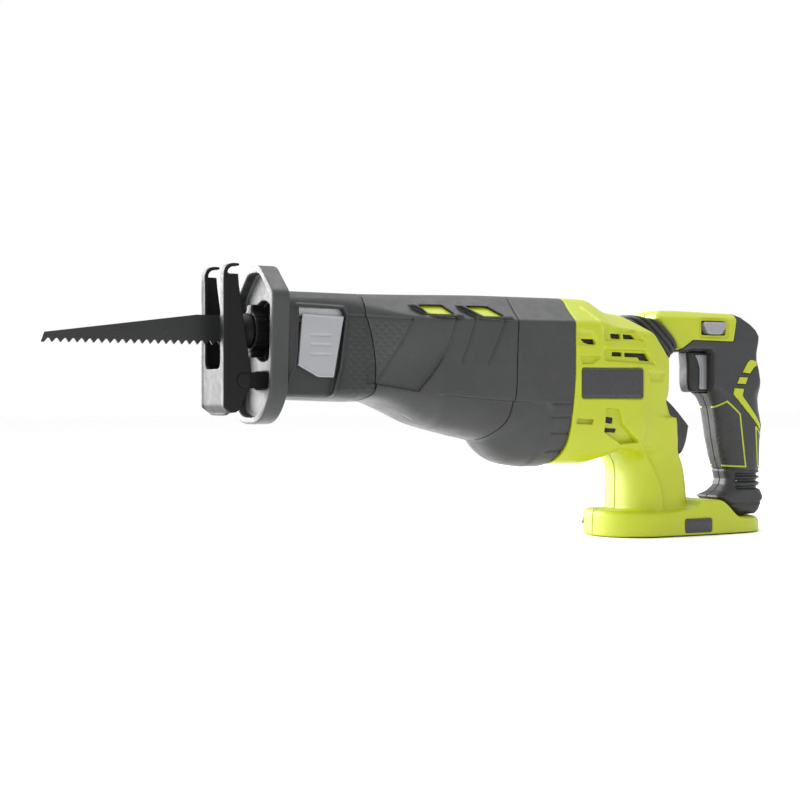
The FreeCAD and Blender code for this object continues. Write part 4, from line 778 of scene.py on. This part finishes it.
ACCENTS = [
    [(86.0, 124.6), (88.8, 126.4), (94.0, 125.2), (94.6, 122.4), (91.4, 120.4),
     (88.0, 116.2), (81.0, 116.8)],
    [(78.2, 113.4), (85.7, 113.1), (83.6, 108.2), (75.7, 108.6)],
    [(73.3, 105.2), (81.9, 104.7), (80.6, 99.4), (99.6, 78.4), (99.6, 74.2), (72.0, 100.8)],
]
LOOP = [(48.6, 86.6), (52.0, 86.2), (57.2, 88.8), (67.1, 95.4), (78.4, 86.0), (84.6, 47.0),
        (67.2, 47.8)]
REAR_LOOP = [(105.6, 66.6), (101.8, 70.0), (93.8, 76.4), (97.2, 47.2), (107.0, 47.0)]


def handle_form(x, y, z):
    side = np.abs(y)
    profile = outline(x, z, HANDLE)
    half = curve(z, [(10, 15.0), (24, 15.8), (40, 15.2), (70, 15.8), (100, 16.6),
                     (120, 16.4), (135, 16.8), (150, 17.2), (163, 17.2)])
    back = np.clip(-profile, 0.0, None)
    grip = ramp(z, 112.0, 96.0) * ramp(z, 23.0, 33.0)
    round_ = 14.0 * grip + 5.0 * (1.0 - grip)
    reach = np.clip(1.0 - back / round_, 0.0, 1.0)
    width = half * (1.0 - (0.50 * grip + 0.12 * (1 - grip)) * reach ** 2.2)
    form = smooth_max(profile, (side - width) * 0.92, 2.6)
    top = (side - 11.0) * 0.62 + (z - 161.0) * 0.78
    return smooth_max(form, np.where(z > 130, top, -20.0), 1.6)


def grip_cut(x, z):
    """Negative where the soft overmould covers the handle."""
    return -outline(x, z, LIME_ARM)


def make_handle():
    spots = [(28, 148), (88, 147), (70, 88), (80, 36), (97, 36)]

    def openings(form, x, y, z):
        mouth = np.maximum(box_field(y, z, (-9.0, 101.5), (9.0, 132.5), 0.6),
                           np.maximum(x - 70.0, 30.0 - x))
        form = smooth_max(form, -mouth, 0.5)
        push = box_field(x, z, (42.7, 143.9), (65.3, 154.1), 1.2)
        form = smooth_max(form, -push, 0.4)
        step = smooth_max(box_field(x, z, (77.8, 5.0), (94.2, 26.2), 0.5),
                          np.abs(y) - 4.6, 0.4)
        form = smooth_max(form, -step, 0.4)
        pin = np.hypot(x - FOOT_PIN[0], z - FOOT_PIN[1]) - 3.05
        pin = np.maximum(pin, np.abs(y) - 14.2)
        form = smooth_max(form, -pin, 0.4)
        inside = np.maximum(np.abs(y) - 10.4, box_field(x, z, (66, 102.6), (92.4, 131.4), 1))
        form = smooth_max(form, -inside, 0.4)
        for sx, sz in spots:
            well = np.maximum(np.hypot(x - sx, z - sz) - 3.0, 12.5 - y)
            form = smooth_max(form, -well, 0.4)
        return form

    def lime(x, y, z):
        form = handle_form(x, y, z) + 0.25
        form = smooth_max(form, outline(x, z, LIME_ARM) + 0.1, 0.5)
        recess = box_field(x, z, (40.4, 141.6), (67.4, 156.2), 3.0)
        form = form + 0.9 * ramp(-recess, -0.4, 0.6) * ramp(np.abs(y), 12, 14)
        return openings(form, x, y, z)

    def grip(x, y, z):
        form = handle_form(x, y, z)
        facet = (np.abs(y) - 16.0) * 0.92 + (z - 143.4) * 0.39
        form = smooth_max(form, np.where(z > 134, facet, -20.0), 0.8)
        zone = grip_cut(x, z) + 0.1
        form = smooth_max(form, zone, 0.5)
        side = ramp(np.abs(y), 5.0, 8.0)
        for level in (40.9, 36.6, 31.4):
            rib = smooth_max(np.abs(z - level) - 1.4, 77.0 - x, 0.8)
            form = form + 2.4 * ramp(-rib, -0.3, 0.8)
        loop = outline(x, z, LOOP)
        form = form + dimples(x, z, 2.5, 0.28) * ramp(-loop, 2.0, 3.2) * side
        band = path_distance(x, z, [(60.0, 45.4), (86.0, 44.4), (112, 44.2)])
        form = form + groove(band, 0.8, 0.8)
        foot = path_distance(x, z, [(68.0, 19.0), (84.0, 19.2), (110.0, 21.6)])
        form = form + groove(foot, 0.6, 0.7)
        for corners in ACCENTS:
            edge = outline(x, z, corners)
            form = form + groove(np.abs(edge), 0.7, 0.5) * side
        well = box_field(x, z, (30, 99.6), (54.6, 133.6), 4.0)
        form = form + 0.8 * ramp(-well, -0.4, 0.6)
        return openings(form, x, y, z)

    low, high = (3, 0, 10), (112, 19, 163)
    for kind, field, finish, slot in (("handle_shell", lime, LIME, "lime_plastic"),
                                      ("handle_grip", grip, SKIN_TOP, "dark_overmould")):
        for name, sign in (("right", 1.0), ("left", -1.0)):
            def half(x, y, z, sign=sign, field=field):
                return smooth_max(field(x, sign * y, z), 0.08 - y, 0.4)
            piece = moulded(f"{kind}_{name}", half, low, high, CRISP + 0.05, mirror=sign < 0)
            node = {"handle_shell": "handle_", "handle_grip": "grip_"}[kind] + name
            place(piece, "handle", finish, slot, node)

    def inlay(x, y, z):
        form = handle_form(x, y, z)
        skin = np.abs(form + 0.7) - 1.0
        shape = None
        for corners in ACCENTS:
            edge = outline(x, z, corners)
            shape = edge if shape is None else np.minimum(shape, edge)
        for corners in (LOOP, REAR_LOOP):
            ring = np.abs(outline(x, z, corners)) - 0.65
            shape = np.minimum(shape, ring)
        return np.maximum(np.maximum(skin, shape), 5.0 - np.abs(y))

    piece = moulded("grip_inlays", inlay, (46, -19, 44), (108, 19, 128), CRISP * 0.8)
    place(piece, "handle", LIME, "lime_plastic")


def make_controls():
    def trigger(x, y, z):
        side = np.abs(y)
        front = curve(z, [(101.5, 42.5), (103, 40.6), (106, 39.2), (112, 38.5), (119, 38.6),
                          (126, 38.2), (132, 37.6)])
        form = smooth_max(front - x, x - 62.0, 1.0)
        form = smooth_max(form, np.abs(z - 117.0) - 14.8, 1.4)
        lip = np.clip((x - front) / 7.0, 0.0, 1.0)
        width = 8.3 - 3.4 * (1.0 - lip) ** 2.2
        form = smooth_max(form, side - width, 1.4)
        edge = curve(z, [(103, 46.2), (110, 46.8), (118, 47.0), (124, 45.6), (131, 42.0)])
        cheek = np.maximum(edge - x, 7.3 - side)
        form = smooth_max(form, -np.maximum(cheek, np.abs(z - 117) - 13.2), 0.3)
        seat = np.hypot(y, z - 117.0) - 4.2
        return smooth_max(form, -np.maximum(seat, 46.0 - x), 0.4)

    piece = moulded("trigger_lever", trigger, (37, -9, 102), (62.4, 9, 132), CRISP)
    place(piece, "trigger", TRIGGER, "trigger_plastic", "trigger")

    def cheeks(x, y, z):
        side = np.abs(y)
        edge = curve(z, [(103, 46.6), (110, 47.2), (118, 47.4), (124, 46.0), (131, 42.4)])
        form = smooth_max(edge - x, x - 61.8, 0.6)
        form = smooth_max(form, np.abs(z - 117.0) - 12.8, 1.2)
        form = smooth_max(form, np.abs(side - 7.85) - 0.6, 0.4)
        return form + groove(np.abs(x - edge - 2.0), 0.2, 0.5)

    piece = moulded("trigger_plates", cheeks, (41, -9, 103), (62, 9, 131), CRISP)
    place(piece, "trigger", SILVER, "silver_plastic", "trigger_cheeks")

    def button(x, y, z):
        shape = outline(x, z, [(43.4, 151.6), (45.0, 153.4), (63.4, 153.4), (64.6, 151.6),
                               (60.4, 145.0), (58.0, 144.4), (49.0, 144.4), (46.6, 145.4)])
        form = smooth_max(shape, -18.5 - y, 0.6)
        form = smooth_max(form, y - 15.5, 0.6)
        lines = np.abs(np.sin(np.pi * (x - 0.55 * z) / 2.6))
        ends = ramp(np.abs(y + 1.5), 15.4, 16.4)
        return form + 0.5 * (1.0 - lines) * ends * ramp(-shape, 0.9, 1.5)

    piece = moulded("lock_slider", button, (43, -19, 144), (65.5, 16, 154), CRISP)
    place(piece, "lock", SILVER, "silver_plastic", "lock_button")


def make_lever():
    plate = [(-281.0, 150.6), (-252.6, 149.2), (-259.6, 110.8), (-270, 111.0),
             (-284.0, 118.2)]

    def field(x, y, z):
        shape = outline(x, z, plate)
        form = smooth_max(shape, np.abs(y + 26.0) - 1.4, 0.7)
        marks = 0.0
        for level in (137.0, 131.0, 125.0):
            line = path_distance(x, z, [(-275.0, level), (-262.0, level)])
            marks = marks + groove(line, 0.45, 0.7)
        form = form + marks * ramp(-y, 26.4, 27.0)
        edge = ramp(-shape, 1.6, 0.6) * 0.25 * ramp(-y, 26.4, 27.0)
        form = form - edge
        pivot = np.hypot(y - LEVER_PIVOT[0], z - LEVER_PIVOT[1]) - 0.85
        return np.maximum(form, -pivot)

    piece = moulded("lever_plate", field, (-285, -28, 110), (-251, -24, 151.5), CRISP)
    place(piece, "lever", SILVER, "silver_plastic", "release_lever")


# --------------------------------------------------------------------------
# Shoe and blade clamp
# --------------------------------------------------------------------------
def make_shoe():
    flange = [(-330.4, 172.5), (-329.4, 174.4), (-320.9, 174.4), (-320.4, 168),
              (-317.6, 148), (-314.0, 125.0), (-312.2, 114.0), (-312.0, 106.0),
              (-314.4, 101.0), (-317.6, 96.0), (-319.4, 90.6), (-322.4, 88.6),
              (-326, 88.4), (-330.4, 92.0)]

    def field(x, y, z):
        side = np.abs(y)
        bend = 3.2 * ramp(z, 95.0, 88.0) ** 2
        plate = np.abs(x - bend + 329.3) - 1.2
        tall = super_round([side / 19.4, (106.0 - z) / 19.4], 5.0)
        plate = smooth_max(plate, (tall - 1.0) * 18.0, 0.8)
        gap = smooth_max(side - curve(z, [(88, 12.4), (150, 12.8), (181, 13.4)]), 115.8 - z,
                         5.0)
        plate = smooth_max(plate, -gap, 0.6)
        plate = smooth_max(plate, z - 175.4, 1.0)
        wall = smooth_max(outline(x, z, flange), np.abs(side - 18.2) - 1.2, 0.6)
        form = smooth_min(plate, wall, 1.6)
        curl = path_distance(x, z, [(-329.3, 172), (-329.2, 175.4), (-328.2, 177.8),
                                    (-326.2, 179.4), (-323.6, 180.0), (-321.0, 180.1)])
        curl = curl - curve(x, [(-330, 1.2), (-326, 1.15), (-321, 0.85)])
        curl = smooth_max(curl, np.abs(side - 16.4) - 3.0, 0.5)
        form = smooth_min(form, curl, 0.6)
        hole = np.hypot(x - RIVET[0], z - RIVET[1]) - 2.6
        return smooth_max(form, -hole, 0.4)

    piece = moulded("pivot_shoe", field, (-330.6, -19.6, 86.4), (-311.6, 19.6, 181.4), CRISP)
    place(piece, "shoe", BLACK, "black_steel", "shoe")

    def rivet(x, y, z):
        round_ = np.hypot(x - RIVET[0], z - RIVET[1])
        shank = smooth_max(round_ - 2.4, np.abs(y) - 20.4, 0.3)
        head = smooth_max(round_ - 4.5, np.abs(np.abs(y) - 20.1) - 0.6, 0.5)
        return smooth_min(shank, head, 0.3)

    piece = moulded("shoe_pin", rivet, (-322, -22.4, 104), (-312, 22.4, 114), CRISP)
    place(piece, "frame", BLACK, "zinc_steel", "shoe_rivet")


def make_clamp():
    def field(x, y, z):
        out = np.hypot(y, z - AXIS_Z)
        turn = np.arctan2(y, z - AXIS_Z)
        body = out - 12.9 + 0.35 * ramp(np.abs(np.sin(9.0 * turn)), 0.6, 0.9)
        form = smooth_max(body, np.abs(x + 301.0) - 5.0, 1.0)
        reach = np.abs(z - AXIS_Z) - 16.7
        lug = smooth_max(reach, np.abs(y) - 4.0, 1.6)
        lug = smooth_max(lug, np.abs(x + 301.5) - 4.5, 1.6)
        form = smooth_min(form, lug, 1.5)
        return smooth_max(form, 9.1 - out, 0.4)

    piece = moulded("clamp_ring", field, (-306.2, -13.4, 123), (-295.8, 13.4, 157), CRISP)
    place(piece, "collar", BLACK, "black_steel", "clamp_collar")


def make_holder():
    def field(x, y, z):
        out = np.hypot(y, z - AXIS_Z)
        form = smooth_max(out - curve(x, [(-313, 9.4), (-309, 11.0), (-306.4, 11.4)]),
                          np.abs(x + 309.6) - 3.2, 0.8)
        form = smooth_max(form, 9.08 - out, 0.3)
        cap = smooth_max(np.abs(x + 312.6) - 0.45, out - 9.4, 0.3)
        slit = np.maximum(np.abs(y) - 0.75, np.abs(z - AXIS_Z) - 10.6)
        return smooth_min(form, smooth_max(cap, -slit, 0.2), 0.2)

    piece = moulded("blade_holder", field, (-313.4, -12, 128), (-306.2, 12, 152), CRISP)
    place(piece, "plunger", BLACK, "black_steel")


# --------------------------------------------------------------------------
# Floor, lights and camera
# --------------------------------------------------------------------------
def make_stage():
    mesh = bpy.data.meshes.new("floor")
    reach = 8.0
    mesh.from_pydata([(-reach, -reach, 0), (reach, -reach, 0), (reach, reach, 0),
                      (-reach, reach, 0)], [], [(0, 1, 2, 3)])
    floor = bpy.data.objects.new("floor", mesh)
    scene.collection.objects.link(floor)
    floor.location.z = -0.0005
    floor.data.materials.append(material("pale_floor", (253, 253, 253), 0.7, mottle=0.005))


def area_light(name, at, towards, size, power):
    lamp = bpy.data.lights.new(name, "AREA")
    lamp.shape = "RECTANGLE"
    lamp.size, lamp.size_y = size
    lamp.energy = power
    holder = bpy.data.objects.new(name, lamp)
    scene.collection.objects.link(holder)
    holder.location = at
    aim = np.array(towards) - np.array(at)
    holder.rotation_euler = (
        math.atan2(math.hypot(aim[0], aim[1]), -aim[2]), 0.0,
        math.atan2(aim[1], aim[0]) - math.pi / 2)
    return holder


def make_light():
    world = bpy.data.worlds.new("studio")
    world.use_nodes = True
    world.node_tree.nodes["Background"].inputs["Color"].default_value = (1, 1, 1, 1)
    world.node_tree.nodes["Background"].inputs["Strength"].default_value = 1.0
    scene.world = world
    area_light("front_window", (-0.95, 1.25, 0.42), (-0.2, 0.0, 0.12), (1.7, 1.3), 78.0)
    area_light("front_fill", (-1.5, 0.1, 0.5), (-0.2, 0.0, 0.12), (1.2, 1.2), 14.0)
    area_light("overhead", (-0.1, 0.2, 1.4), (-0.1, 0.0, 0.1), (1.4, 0.8), 14.0)


def make_camera():
    data = bpy.data.cameras.new("view")
    data.sensor_width = 36.0
    data.lens = 69.75
    data.clip_end = 50.0
    camera = bpy.data.objects.new("view", data)
    scene.collection.objects.link(camera)
    camera.location = (-0.6818, -0.9104, 0.0964)
    camera.rotation_euler = (math.radians(90.0), 0.0, math.radians(-28.0))
    scene.camera = camera


scene.view_settings.view_transform = "Standard"
make_camera()
make_stage()
make_light()
finish_cad_nodes()
make_neck()
make_gear_cover()
make_middle_cover()
make_guard()
make_housing()
# Painted shade behind the vent slots.
make_vent_shade_sheet()
make_badges()
make_pad()
make_bellows()
make_handle()
make_controls()
make_lever()
make_shoe()
make_clamp()
make_holder()
